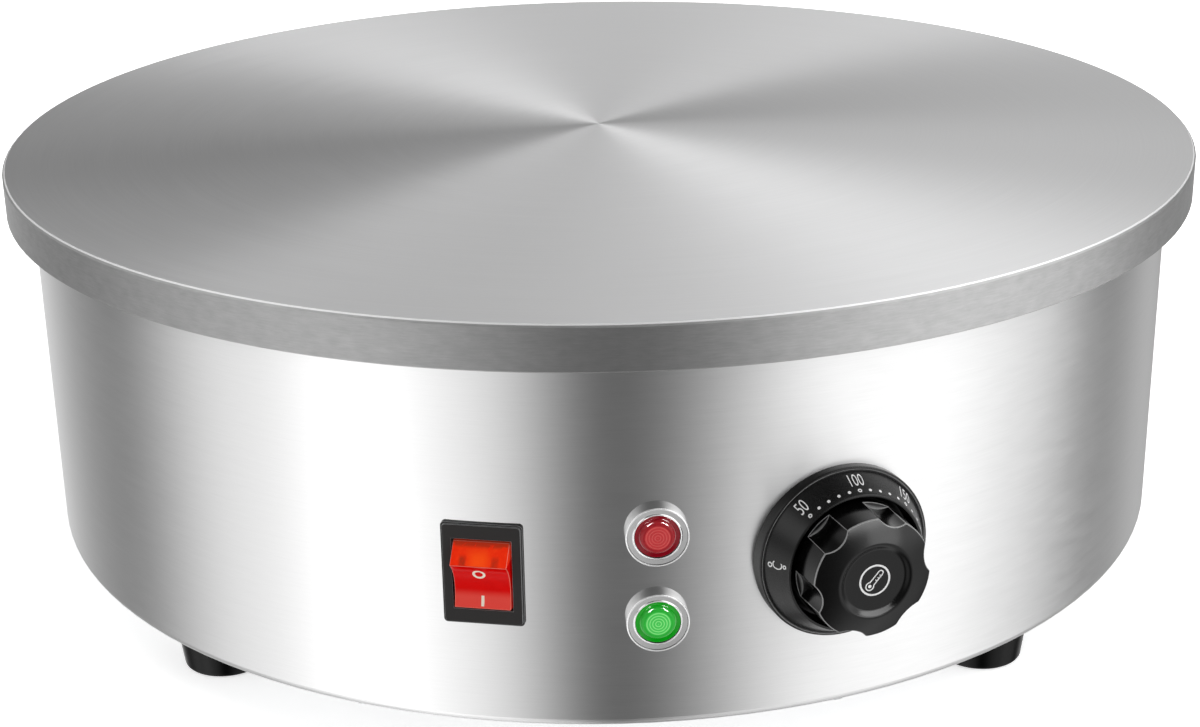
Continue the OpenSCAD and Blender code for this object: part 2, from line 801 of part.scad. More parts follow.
module lamp_lens(z, tint) {
    r = lens_d / 2;
    dome_r = r * 0.64;
    top = lamp_h + 0.2;
    color(tint) on_drum(lamp_az, z) rotate_extrude() polygon(concat(
        [[0, lens_seat], [r, lens_seat], [r, lamp_h - 1.2]],
        [[r - 0.5, lamp_h - 0.8], [dome_r + 0.5, lamp_h - 1.3]],
        arc([dome_r - 0.9, top - 0.9], 0.9, 0, 90, 4),
        [[0, top + 0.15]]));
}

module lamp_body(z) {
    end = lamp_barrel + 4;
    color("#222222") on_drum(lamp_az, z) {
        translate([0, 0, -end]) cylinder(r = lens_d / 2 - 0.9, h = end + lens_seat);
        for (x = [-1, 1]) translate([x * 2.6, 0, 0])
            box_on_z([tab_t, 2.8, 6 + e], -end - 6);
    }
}

module lamp_nut(z) {
    color("silver") on_drum(lamp_az, z)
        translate([0, 0, -wall_sag(lamp_nut_r) - seat_gap - lamp_nut_h])
            hex_nut(lamp_nut_r, lamp_nut_h, barrel_d / 2 + thread_gap);
}

// ---- Cable gland ----

module gland_frame() {
    on_drum(gland_az, gland_z) children();
}

module gland_body() {
    color("#202020") difference() {
        union() {
            seated_on_drum() gland_frame() translate([0, 0, -2])
                cylinder(r = gland_hex_r, h = gland_hex_h + 2, $fn = 6);
            gland_frame() translate([0, 0, -gland_barrel])
                cylinder(r = gland_thread_d / 2, h = gland_barrel + 1.5);
            gland_frame() cylinder(r = nose_r, h = gland_reach - 4);
        }
        gland_frame() {
            translate([0, 0, -gland_barrel - 1])
                cylinder(r = cable_d / 2 + 0.6, h = gland_barrel + 4);
            translate([0, 0, seal_bottom]) cylinder(r = seal_r + seat_gap, h = gland_reach);
        }
    }
}

module gland_seal() {
    color("#303030") gland_frame() translate([0, 0, seal_bottom])
        tube(seal_r, cable_d / 2, seal_top - seal_bottom);
}

module gland_cap() {
    cap_r = gland_hex_r - 1.2;
    foot_z = gland_hex_h + seat_gap;
    color("#202020") gland_frame() difference() {
        union() {
            translate([0, 0, foot_z]) cylinder(r = cap_r + 0.9, h = 5.2, $fn = 6);
            translate([0, 0, foot_z]) cylinder(r = cap_r - 0.6, h = gland_reach - foot_z - 1.4);
            translate([0, 0, gland_reach - 1.4 - e])
                cylinder(r1 = cap_r - 0.6, r2 = cap_r - 2, h = 1.4 + e);
        }
        translate([0, 0, foot_z - 1]) cylinder(r = nose_r + seat_gap, h = seal_top - foot_z + 1);
        cylinder(r = cable_d / 2 + 0.3, h = gland_reach + 1);
    }
}

module gland_locknut() {
    color("#202020") gland_frame()
        translate([0, 0, -wall_sag(gland_hex_r) - seat_gap - gland_nut_h])
            hex_nut(gland_hex_r, gland_nut_h, gland_thread_d / 2 + thread_gap);
}

// ---- Terminal block, earth and wires ----

module at_poles(z) {
    for (x = [-pole_x, 0, pole_x]) translate([x, block_y, z]) children();
}

module at_block_screws(z) {
    for (x = [-1, 1]) translate([x * pole_x / 2, block_y, z]) children();
}

module terminal_block() {
    back = block_size[1] / 2;
    color("ivory") difference() {
        translate([0, block_y, 0]) box_on_z(block_size, drum_z);
        at_poles(block_well_z) cylinder(r = pole_screw_r + 0.3, h = block_size[2]);
        at_block_screws(drum_z - 1) cylinder(r = m4[0] + hole_gap, h = block_size[2]);
        at_block_screws(block_seat_z) cylinder(r = m4[1] + 0.3, h = block_size[2]);
        for (x = [-pole_x, 0, pole_x]) translate([x, block_y + back / 2, pole_z])
            rotate([-90, 0, 0]) cylinder(r = pole_screw_r - 0.1, h = back);
    }
}

module terminal_screws() {
    color("silver") at_poles(block_well_z) cylinder(r = pole_screw_r, h = pole_screw_h);
}

module block_screws() {
    color("silver") at_block_screws(block_seat_z) mirror([0, 0, 1])
        pan_screw(m4, block_seat_z - base_z + 2);
}

module earth_stud() {
    color("silver") translate([earth_at[0], earth_at[1], base_z - 3]) {
        cylinder(r = 4.6, h = 3);
        translate([0, 0, 3 - e]) cylinder(r = m5[0], h = base_t + 16 + e);
    }
}

module earth_nuts() {
    color("goldenrod") translate([earth_at[0], earth_at[1], drum_z]) {
        hex_nut(m5[1], m5[2], m5[0] + thread_gap);
        translate([0, 0, m5[2]]) tube(lug_r, m5[0] + thread_gap, lug_t);
        translate([0, 0, m5[2] + lug_t]) hex_nut(m5[1], m5[2], m5[0] + thread_gap);
    }
}

// A smooth curve through chosen points, n steps between each pair
function bend_at(a, b, c, d, t) = 0.5 * (2 * b + (c - a) * t
    + (2 * a - 5 * b + 4 * c - d) * t * t + (3 * b - a - 3 * c + d) * t * t * t);
function smooth(p, n) = concat(
    [for (i = [0 : len(p) - 2], k = [0 : n - 1])
        bend_at(p[max(i - 1, 0)], p[i], p[i + 1], p[min(i + 2, len(p) - 1)], k / n)],
    [p[len(p) - 1]]);
function unit(v) = v / norm(v);

// Route from one end to another, each an [end point, direction that the lead leaves it in]
function route(from, way, to) = concat([from[0]],
    smooth(concat([from[0] + stub_l * from[1]], way, [to[0] + stub_l * to[1]]), 4), [to[0]]);

// A round lead swept along a route; side is a direction that the route never follows
module lead(route, r, side = [1, 0, 0], sides = 8) {
    n = len(route);
    rings = [for (i = [0 : n - 1])
        let(ahead = unit(route[min(i + 1, n - 1)] - route[max(i - 1, 0)]),
            u = unit(cross(ahead, side)), v = cross(ahead, u))
        for (k = [0 : sides - 1]) route[i] + r * (cos(k * 360 / sides) * u
            + sin(k * 360 / sides) * v)];
    walls = [for (i = [0 : n - 2], k = [0 : sides - 1])
        let(a = i * sides + k, b = i * sides + (k + 1) % sides)
        [a, a + sides, b + sides, b]];
    caps = [[for (k = [0 : sides - 1]) k], [for (k = [sides - 1 : -1 : 0]) (n - 1) * sides + k]];
    polyhedron(points = rings, faces = concat(walls, caps), convexity = 6);
}

module capillary_tube() {
    along = [sin(bulb_angle), -cos(bulb_angle), 0];
    bulb_at = [stud_radii[0] * cos(bulb_angle), stud_radii[0] * sin(bulb_angle),
        under_z - seat_gap - bulb_r];
    capsule_at = panel_pt(dial_az, 0, dial_z, -body_back - capsule_h);
    way = [[drop_at[0], drop_at[1], under_z - 14], [drop_at[0], drop_at[1], shield_z + 8],
        [drop_at[0], drop_at[1], shield_z - 8], inside(20.9, -49.1, 50.9)];
    color("#b87333") lead(route([bulb_at + bulb_l / 2 * along, along], way,
        [capsule_at, inward(dial_az)]), 0.9, [0.9, -0.5, 0]);
}

// Unit vector from the panel towards the middle of the drum
function inward(az) = [-sin(az), cos(az), 0];

// Ends of the leads, at l past the tab, pin, pole or lug that each is crimped to
function switch_end(x, y, l = sleeve_l) = [
    panel_pt(switch_az, x * tab_x, switch_z + y * tab_y, -housing_depth - tab_l - l),
    inward(switch_az)];
function thermostat_end(x, l = sleeve_l) = [
    panel_pt(dial_az, x * terminal_x, dial_z - terminal_drop, -body_back - l),
    inward(dial_az)];
function pole_end(x, l = sleeve_l) = [[x, block_y - block_size[1] / 2 - l, pole_z], [0, -1, 0]];
function pin_end(x, r, l = sleeve_l) = [[x * leg_half, leg_y(r), pin_z - l], [0, 0, -1]];
function lug_end(l = sleeve_l) = let(way = [cos(-15), sin(-15), 0]) [
    [earth_at[0], earth_at[1], drum_z + m5[2] + lug_t / 2] + (lug_r + seat_gap + l) * way, way];

// A crimped sleeve between two ends on one line
module sleeve(from, to) {
    d = to[0] - from[0];
    translate(from[0]) rotate([0, acos(d[2] / norm(d)), atan2(d[1], d[0])])
        cylinder(r = sleeve_r, h = norm(d), $fn = 24);
}

module wire_sleeves() {
    color("#c03028") {
        for (x = [-1, 1], y = [-1, 1]) sleeve(switch_end(x, y, 0), switch_end(x, y));
        for (x = [-1, 1], r = ring_radii) sleeve(pin_end(x, r, 0), pin_end(x, r));
        for (x = [-1, 1]) sleeve(thermostat_end(x, 0), thermostat_end(x));
        for (x = [-pole_x, 0, pole_x]) sleeve(pole_end(x, 0), pole_end(x));
        sleeve(lug_end(0), lug_end());
    }
}

// Leads that join the elements' ends on one side
module jumpers(x) {
    for (i = [0 : len(ring_radii) - 2]) {
        a = pin_end(x, ring_radii[i]);
        b = pin_end(x, ring_radii[i + 1]);
        lead(route(a, [(a[0] + b[0]) / 2 - [0, 0, 12]], b), wire_r, [1, 0, 0], 6);
    }
}

module wires_live() {
    color("saddlebrown") {
        lead(route(pole_end(-pole_x), [inside(-8.4, 47, 6.3), inside(-15.7, 10.4, 6.3),
            inside(-20.9, -36.5, 10.9), switch_end(-1, -1, 30)[0] - [0, 0, 12]],
            switch_end(-1, -1)), wire_r);
        lead(route(switch_end(-1, 1), [inside(-12.5, -66.8, 56.2), inside(-3.1, -61.6, 58),
            inside(9.4, -62.6, 49), inside(18.8, -63.7, 36.3)], thermostat_end(-1)),
            wire_r, [0, 0, 1]);
        lead(route(thermostat_end(1), [inside(30.3, -41.8, 19.9), inside(23, -5.2, 15.4),
            inside(12.5, 12.5, 19.9), inside(6.3, 23, 30.8)], pin_end(1, ring_radii[0])), wire_r);
        jumpers(1);
    }
}

module wires_neutral() {
    color("royalblue") {
        lead(route(pole_end(pole_x), [inside(7.3, 47, 7.3), inside(1, 10.4, 5.4),
            inside(-7.3, -41.8, 9.1), switch_end(1, -1, 30)[0] - [0, 0, 12]],
            switch_end(1, -1)), wire_r);
        lead(route(switch_end(1, 1), [inside(-8.4, -57.4, 43.5), inside(-9.4, -10.4, 25.4),
            inside(-6.8, 17.7, 27.2)], pin_end(-1, ring_radii[0])), wire_r);
        jumpers(-1);
    }
}

module wire_earth() {
    a = pole_end(0);
    reach = [-pole_x, -sleeve_l, sleeve_l];
    over = [[0.6, 1.9, 0.9], [1.6, 1.6, 1.1]];
    way = [for (s = over) a[0] + [for (i = [0 : 2]) s[i] * reach[i]]];
    color("yellowgreen") lead(route(a, way, lug_end()), wire_r, [0, 0, 1]);
}

griddle_plate();
drum_shell();
support_ring();
base_plate();
base_screws();
foot(0);  // foot_front_left
foot(1);  // foot_front_right
foot(2);  // foot_rear_right
foot(3);  // foot_rear_left
foot_screws();
foot_nuts();
plate_studs();
plate_washers();
plate_nuts();
element(ring_radii[0]);  // element_inner
element(ring_radii[1]);  // element_middle
element(ring_radii[2]);  // element_outer
element_beads();
element_pins();
clamp_bars();
clamp_studs();
clamp_nuts();
insulation_blanket();
heat_shield();
thermostat_body();
thermostat_shaft();
thermostat_screws();
capillary_tube();
sensing_bulb();
bulb_clip();
bulb_clip_screws();
dial_bezel();
control_knob();
switch_housing();
rocker();
switch_tabs();
lamp_ring(red_z);  // red_lamp_ring
lamp_lens(red_z, "#b01020");  // red_lamp_lens
lamp_body(red_z);  // red_lamp_body
lamp_nut(red_z);  // red_lamp_nut
lamp_ring(green_z);  // green_lamp_ring
lamp_lens(green_z, "#10b030");  // green_lamp_lens
lamp_body(green_z);  // green_lamp_body
lamp_nut(green_z);  // green_lamp_nut
gland_body();
gland_seal();
gland_cap();
gland_locknut();
terminal_block();
terminal_screws();
block_screws();
earth_stud();
earth_nuts();
wire_sleeves();
wires_live();
wires_neutral();
wire_earth();
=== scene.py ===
"""Looks of an electric crepe maker: a turned griddle plate on a brushed steel drum, with a
rocker switch, two pilot lamps and a thermostat dial. Metres, in the frame of the CAD part:
+Z up along the axis of the drum, the controls facing -Y."""

import json
import math

import bmesh
import bpy
import numpy as np
from mathutils import Matrix, Vector

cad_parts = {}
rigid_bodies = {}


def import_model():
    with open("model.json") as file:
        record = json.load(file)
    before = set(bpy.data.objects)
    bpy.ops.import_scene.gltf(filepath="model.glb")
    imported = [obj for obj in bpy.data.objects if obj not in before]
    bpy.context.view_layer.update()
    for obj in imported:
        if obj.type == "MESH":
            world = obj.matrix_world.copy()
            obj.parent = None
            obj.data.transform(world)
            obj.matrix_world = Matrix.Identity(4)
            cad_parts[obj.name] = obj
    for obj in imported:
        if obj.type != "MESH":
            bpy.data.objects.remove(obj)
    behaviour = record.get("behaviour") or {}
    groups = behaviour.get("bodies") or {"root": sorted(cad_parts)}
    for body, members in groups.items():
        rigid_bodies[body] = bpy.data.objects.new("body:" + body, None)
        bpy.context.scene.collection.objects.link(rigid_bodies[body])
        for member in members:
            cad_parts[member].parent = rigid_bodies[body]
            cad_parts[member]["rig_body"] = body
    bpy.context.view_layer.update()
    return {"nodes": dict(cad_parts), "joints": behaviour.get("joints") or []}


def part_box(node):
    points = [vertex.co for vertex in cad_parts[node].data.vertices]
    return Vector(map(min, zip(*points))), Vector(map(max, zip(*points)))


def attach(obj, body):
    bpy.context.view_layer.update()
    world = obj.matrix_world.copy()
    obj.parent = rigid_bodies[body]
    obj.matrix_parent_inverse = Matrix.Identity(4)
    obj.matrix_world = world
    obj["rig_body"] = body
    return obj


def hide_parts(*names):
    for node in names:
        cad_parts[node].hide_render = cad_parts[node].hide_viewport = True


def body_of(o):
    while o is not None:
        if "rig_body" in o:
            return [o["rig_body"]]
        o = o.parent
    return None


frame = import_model()

MM = 0.001
NODES = frame["nodes"]
JOINTS = {joint["name"]: joint for joint in frame["joints"]}
DRUM_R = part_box("drum_shell")[1].x
PLATE_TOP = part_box("griddle_plate")[1].z


# ---- Places on the panel ----


def facing(azimuth, height):
    """Place of a piece on the drum: x to the right, y up, z straight out of the face at that
    azimuth, with its origin on the drum's wall."""
    a = math.radians(azimuth)
    right, out = Vector((math.cos(a), math.sin(a), 0)), Vector((math.sin(a), -math.cos(a), 0))
    place = Matrix((right, Vector((0, 0, 1)), out)).transposed().to_4x4()
    place.translation = out * DRUM_R + Vector((0, 0, height))
    return place


def azimuth_of(point):
    """Angle round the drum of a point, 0 at the front and rising to the right, in degrees."""
    return math.degrees(math.atan2(point[0], -point[1]))


dial_joint, rocker_joint = JOINTS["thermostat_turn"], JOINTS["switch_rock"]
DIAL = facing(azimuth_of(dial_joint["pos_m"]), dial_joint["pos_m"][2])
SWITCH = facing(azimuth_of(rocker_joint["pos_m"]), rocker_joint["pos_m"][2])
PIVOT_IN = DRUM_R - math.hypot(*rocker_joint["pos_m"][:2])
RED_MIDDLE, GREEN_MIDDLE = [
    (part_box(node)[0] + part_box(node)[1]) / 2 for node in ("red_lamp_lens", "green_lamp_lens")
]
RED_PLACE = facing(azimuth_of(RED_MIDDLE), RED_MIDDLE.z)
GREEN_PLACE = facing(azimuth_of(GREEN_MIDDLE), GREEN_MIDDLE.z)


# ---- Meshes worked out on grids ----

# In metres: points this close are one point, shorter edges go, and CAD points are merged
SAME_POINT, NO_EDGE, SAME_CAD_POINT = 1e-7, 1e-8, 2e-6
# Edges sharper than the first angle are hard, and faces within the second are one face
HARD_ANGLE, FLAT_ANGLE = math.radians(30), math.radians(1)


def in_scene(name, data):
    """A new object of that data, in the scene."""
    made = bpy.data.objects.new(name, data)
    bpy.context.scene.collection.objects.link(made)
    return made


def place_points(points, place):
    """Points of an (n, 3) array turned and moved by a 4 by 4 place."""
    m = np.array(place)
    return points @ m[:3, :3].T + m[:3, 3]


def mesh_piece(name, points, faces, material, body, smooth=True, edge=None):
    """Object with that mesh, that material, riding on that body, its place in its vertices.
    The edge weights, 0 to 1 for each point, say where an edge gets a painted highlight."""
    mesh = bpy.data.meshes.new(name)
    mesh.from_pydata(points.reshape(-1, 3).tolist(), [], faces.tolist())
    if edge is not None:
        mesh.attributes.new("edge", "FLOAT", "POINT").data.foreach_set("value", edge.ravel())
    mesh.materials.append(material)
    mesh.update()
    mesh.polygons.foreach_set("use_smooth", np.full(len(mesh.polygons), smooth))
    piece = in_scene(name, mesh)
    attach(piece, body)
    return piece


def grid_faces(rows, columns, round_rows=False):
    """Quads of a grid of rows by columns points. Its columns join round on themselves, and its
    rows where asked."""
    r = np.arange(rows if round_rows else rows - 1)[:, None]
    c = np.arange(columns)[None, :]
    r1, c1 = (r + 1) % rows, (c + 1) % columns
    corners = [r * columns + c, r * columns + c1, r1 * columns + c1, r1 * columns + c]
    return np.stack(corners, -1).reshape(-1, 4)


def tidy_mesh(piece, sharp=None):
    """Merges doubles, points the faces outwards and marks edges sharper than the angle."""
    work = bmesh.new()
    work.from_mesh(piece.data)
    bmesh.ops.remove_doubles(work, verts=work.verts, dist=SAME_POINT)
    bmesh.ops.dissolve_degenerate(work, edges=work.edges, dist=NO_EDGE)
    bmesh.ops.recalc_face_normals(work, faces=work.faces)
    work.to_mesh(piece.data)
    work.free()
    if sharp is not None:
        piece.data.set_sharp_from_angle(angle=math.radians(sharp))
    return piece


def turned(name, profile, place, material, body, sides=128, seat=None, sharp=35, edge=None):
    """Surface of revolution: the profile's (radius, height) pairs run round local z, at angle
    2 pi j / sides. The rows of the seat slide along z to the drum's face, which lies
    sqrt(R^2 - x^2) - R below the panel's tangent plane. Edge gives each row's edge weight."""
    p = np.array(profile, float)
    angle = 2 * np.pi * np.arange(sides) / sides
    x = p[:, 0:1] * np.cos(angle)
    y = p[:, 0:1] * np.sin(angle)
    z = np.repeat(p[:, 1:2], sides, 1)
    if seat is not None:
        rows = list(seat)
        z[rows] += np.sqrt(DRUM_R**2 - x[rows] ** 2) - DRUM_R
    points = place_points(np.stack([x, y, z], -1).reshape(-1, 3), place)
    closed = np.allclose(p[0], p[-1])
    rows = len(p) - 1 if closed else len(p)
    faces = grid_faces(rows, sides, round_rows=closed)
    weights = None if edge is None else np.repeat(np.array(edge[:rows], float), sides)
    piece = mesh_piece(name, points[: rows * sides], faces, material, body, edge=weights)
    return tidy_mesh(piece, sharp)


def arc(centre, radius, start, end, steps):
    """Points on an arc about a centre, from start to end in degrees."""
    a = np.radians(np.linspace(start, end, steps + 1))
    return [(centre[0] + radius * math.cos(t), centre[1] + radius * math.sin(t)) for t in a]


def softened(node, material, width, segments, highlight_material):
    """A merged copy of a CAD node with its hard edges rounded by a bevel of that width, in the
    highlight material, which paints a highlight on them; it stands for the node."""
    source = NODES[node]
    body = body_of(source)[0]
    mesh = source.data.copy()
    work = bmesh.new()
    work.from_mesh(mesh)
    bmesh.ops.remove_doubles(work, verts=work.verts, dist=SAME_CAD_POINT)
    bmesh.ops.dissolve_limit(work, angle_limit=FLAT_ANGLE, verts=work.verts, edges=work.edges)
    work.to_mesh(mesh)
    work.free()
    mesh.materials.clear()
    mesh.materials.append(material)
    mesh.materials.append(highlight_material)
    mesh.polygons.foreach_set("use_smooth", np.full(len(mesh.polygons), True))
    mesh.set_sharp_from_angle(angle=HARD_ANGLE)
    piece = in_scene(node + "_finished", mesh)
    bevel = piece.modifiers.new("edges", "BEVEL")
    bevel.width, bevel.segments, bevel.material = width, segments, 1
    bevel.limit_method, bevel.angle_limit = "ANGLE", HARD_ANGLE
    bevel.harden_normals, bevel.use_clamp_overlap = True, False
    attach(piece, body)
    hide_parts(node)
    return piece


# ---- Shader helpers ----


def put(tree, kind, values=None, **settings):
    """Adds a node; values fill its inputs by name or number, linked where they are sockets."""
    made = tree.nodes.new("ShaderNode" + kind)
    for key, value in settings.items():
        setattr(made, key, value)
    for key, value in (values or {}).items():
        if isinstance(value, bpy.types.NodeSocket):
            tree.links.new(value, made.inputs[key])
        else:
            made.inputs[key].default_value = value
    return made


def maths(tree, operation, a, b=0.0, c=0.0):
    """Output of a Math node."""
    return put(tree, "Math", {0: a, 1: b, 2: c}, operation=operation).outputs[0]


def product(tree, first, *others):
    """Product of two or more numbers."""
    for other in others:
        first = maths(tree, "MULTIPLY", first, other)
    return first


def vector_maths(tree, operation, a, b=(0, 0, 0)):
    """Vector output of a Vector Math node."""
    return put(tree, "VectorMath", {0: a, 1: b}, operation=operation).outputs["Vector"]


def dot(tree, a, b):
    """Dot product of two vectors."""
    return put(tree, "VectorMath", {0: a, 1: b}, operation="DOT_PRODUCT").outputs["Value"]


def length_of(tree, vector):
    """Length of a vector."""
    return put(tree, "VectorMath", {0: vector}, operation="LENGTH").outputs["Value"]


def times(tree, vector, factor):
    """A vector times a number."""
    made = put(tree, "VectorMath", {0: vector, "Scale": factor}, operation="SCALE")
    return made.outputs["Vector"]


def ease(tree, value, low, high, to_low=0.0, to_high=1.0):
    """Value taken from low..high to to_low..to_high along a smooth step."""
    values = {"Value": value, "From Min": low, "From Max": high}
    values.update({"To Min": to_low, "To Max": to_high})
    return put(tree, "MapRange", values, interpolation_type="SMOOTHSTEP").outputs["Result"]


def tint(tree, factor, a, b, kind="MIX"):
    """Colour between a and b."""
    made = put(tree, "Mix", data_type="RGBA", blend_type=kind)
    for socket, value in zip((made.inputs[0], made.inputs[6], made.inputs[7]), (factor, a, b)):
        if isinstance(value, bpy.types.NodeSocket):
            tree.links.new(value, socket)
        else:
            socket.default_value = value if isinstance(value, float) else (*value[:3], 1.0)
    return made.outputs[2]


def object_point(tree):
    """Object coordinates of the shaded point."""
    return put(tree, "TexCoord").outputs["Object"]


def split(tree, vector):
    """The x, y and z of a vector."""
    return put(tree, "SeparateXYZ", {0: vector}).outputs


def join(tree, x=0.0, y=0.0, z=0.0):
    """A vector from its x, y and z."""
    return put(tree, "CombineXYZ", {0: x, 1: y, 2: z}).outputs[0]


def noise(tree, vector, scale, detail=2.0, roughness=0.5):
    """Grey noise about 0.5."""
    values = {"Vector": vector, "Scale": scale, "Detail": detail, "Roughness": roughness}
    return put(tree, "TexNoise", values).outputs["Fac"]


def new_group(name, inputs, outputs):
    """Node group with sockets given as (name, kind, default); returns its tree and ends."""
    tree = bpy.data.node_groups.new(name, "ShaderNodeTree")
    face = tree.interface
    for label, kind, value in inputs:
        socket = face.new_socket(label, in_out="INPUT", socket_type="NodeSocket" + kind)
        if value is not None:
            socket.default_value = value
    for label, kind in outputs:
        face.new_socket(label, in_out="OUTPUT", socket_type="NodeSocket" + kind)
    given, out = tree.nodes.new("NodeGroupInput"), tree.nodes.new("NodeGroupOutput")
    return tree, given.outputs, out.inputs


def use_group(tree, group, **values):
    """A placed group's outputs."""
    made = tree.nodes.new("ShaderNodeGroup")
    made.node_tree = group
    for key, value in values.items():
        if isinstance(value, bpy.types.NodeSocket):
            tree.links.new(value, made.inputs[key])
        else:
            made.inputs[key].default_value = value
    return made.outputs


def direction_from_axis(tree, point, length):
    """The point's offset from the z axis, and the x, y and z of its direction, that long."""
    x, y, _ = split(tree, point)
    flat = join(tree, x, y)
    way = vector_maths(tree, "NORMALIZE", flat)
    return flat, split(tree, times(tree, way, length))


def make_turning_marks():
    """Rings left by the tool: noise along the radius, nearly even round the axis, because the
    direction from the axis only moves it by the waver."""
    tree, given, out = new_group(
        "turning_marks",
        [("Vector", "Vector", None), ("Pitch", "Float", 0.0006), ("Waver", "Float", 0.5)],
        [("Height", "Float"), ("Tone", "Float")],
    )
    flat, (x, y, _) = direction_from_axis(tree, given["Vector"], given["Waver"])
    radius = length_of(tree, flat)
    rings = maths(tree, "DIVIDE", radius, given["Pitch"])
    fine = noise(tree, join(tree, x, y, rings), 1.0, 2.0, 0.6)
    slow = product(tree, rings, 0.3)
    broad = noise(tree, join(tree, x, y, slow), 1.0, 3.0, 0.6)
    tree.links.new(fine, out["Height"])
    mixed = maths(tree, "MULTIPLY_ADD", fine, 0.7, product(tree, broad, 0.3))
    tree.links.new(mixed, out["Tone"])
    return tree


def make_brush_marks():
    """Brushing that runs round the drum: noise stretched round the axis, fine along z."""
    tree, given, out = new_group(
        "brush_marks",
        [("Vector", "Vector", None), ("Fineness", "Float", 4000.0), ("Length", "Float", 14.0)],
        [("Height", "Float"), ("Tone", "Float")],
    )
    z = split(tree, given["Vector"])[2]
    x, y, _ = direction_from_axis(tree, given["Vector"], given["Length"])[1]
    up = product(tree, z, given["Fineness"])
    fine = noise(tree, join(tree, x, y, up), 1.0, 3.0, 0.65)
    broad = noise(tree, join(tree, x, y, product(tree, up, 0.15)), 1.0, 2.0, 0.5)
    tree.links.new(fine, out["Height"])
    mixed = maths(tree, "MULTIPLY_ADD", fine, 0.6, product(tree, broad, 0.4))
    tree.links.new(mixed, out["Tone"])
    return tree


def make_grain():
    """Fine pits and a slow drift of tone, as on moulded plastic, rubber or rolled sheet."""
    tree, given, out = new_group(
        "grain",
        [("Vector", "Vector", None), ("Size", "Float", 0.0004), ("Drift", "Float", 0.03)],
        [("Height", "Float"), ("Tone", "Float")],
    )
    fine = noise(tree, given["Vector"], maths(tree, "DIVIDE", 1.0, given["Size"]), 2.0, 0.5)
    slow = noise(tree, given["Vector"], maths(tree, "DIVIDE", 1.0, given["Drift"]), 3.0, 0.55)
    tree.links.new(fine, out["Height"])
    mixed = maths(tree, "MULTIPLY_ADD", fine, 0.35, product(tree, slow, 0.65))
    tree.links.new(mixed, out["Tone"])
    return tree


TURNING, BRUSHING, GRAIN = make_turning_marks(), make_brush_marks(), make_grain()


def blank(name, **constants):
    """Material with one Principled shader and those constants; returns it, its tree and the
    shader."""
    material = bpy.data.materials.new(name)
    material.use_nodes = True
    tree = material.node_tree
    shader = tree.nodes["Principled BSDF"]
    for key, value in constants.items():
        shader.inputs[key.replace("_", " ")].default_value = value
    return material, tree, shader


def bumped(tree, shader, height, distance, normal=None):
    """Height of that many metres on the shader's normal, or on the normal given."""
    bump = put(tree, "Bump", {"Height": height, "Distance": distance, "Strength": 1.0})
    if normal is not None:
        tree.links.new(normal, bump.inputs["Normal"])
    tree.links.new(bump.outputs[0], shader.inputs["Normal"])


def make_true_round():
    """Normal of a wall that is round about the z axis: the direction from the axis, inwards or
    outwards, wherever the facet's own normal is within about ten degrees of it."""
    tree, given, out = new_group(
        "true_round",
        [("Vector", "Vector", None), ("Normal", "Vector", None)],
        [("Normal", "Vector")],
    )
    own = given["Normal"]
    way = vector_maths(tree, "NORMALIZE", direction_from_axis(tree, given["Vector"], 1.0)[0])
    outward = dot(tree, own, way)
    near = ease(tree, maths(tree, "ABSOLUTE", outward), 0.975, 0.99)
    faced_way = times(tree, way, maths(tree, "SIGN", outward))
    step = times(tree, vector_maths(tree, "SUBTRACT", faced_way, own), near)
    tree.links.new(vector_maths(tree, "ADD", own, step), out["Normal"])
    return tree


TRUE_ROUND = make_true_round()


def plain_finish(name, colour, roughness, metallic=0.0, size=0.0004, depth=0.00001, spread=0.12,
                 edge=None, **constants):
    """Grained finish: the colour and the roughness drift with the grain's tone. Where the
    piece's edge weight is high, the edge colour paints a highlight, broken by the grain."""
    material, tree, shader = blank(name, Metallic=metallic, **constants)
    grain = use_group(tree, GRAIN, Vector=object_point(tree), Size=size)
    low = [c * (1 - spread) for c in colour]
    high = [min(1.0, c * (1 + spread)) for c in colour]
    tone = tint(tree, grain["Tone"], low, high)
    # Painted highlight: a light edge colour along the edges, broken up by the grain
    if edge:
        weight = put(tree, "Attribute", attribute_name="edge").outputs["Fac"]
        edge_highlight = product(tree, ease(tree, weight, 0.25, 0.8),
                         ease(tree, grain["Tone"], 0.25, 0.55, 0.6, 1.0))
        tone = tint(tree, edge_highlight, tone, edge)
    tree.links.new(tone, shader.inputs["Base Color"])
    rough = ease(tree, grain["Tone"], 0.3, 0.7, roughness * 0.9, roughness * 1.1)
    tree.links.new(rough, shader.inputs["Roughness"])
    bumped(tree, shader, grain["Height"], depth)
    return material


# ---- Materials ----

# How far a normal points along an axis while the face square to that axis fades in
FACE_STEP = (0.75, 0.95)
# Height of the plate's arris, over which its painted highlight fades in
ARRIS_HIGHLIGHT_STEP = (PLATE_TOP - 0.00048, PLATE_TOP - 0.00032)


def round_the_axis(tree, shader):
    """Stretches the highlights across marks that run round the z axis."""
    shader.inputs["Anisotropic Rotation"].default_value = 0.25
    tangent = put(tree, "Tangent", direction_type="RADIAL", axis="Z")
    tree.links.new(tangent.outputs[0], shader.inputs["Tangent"])


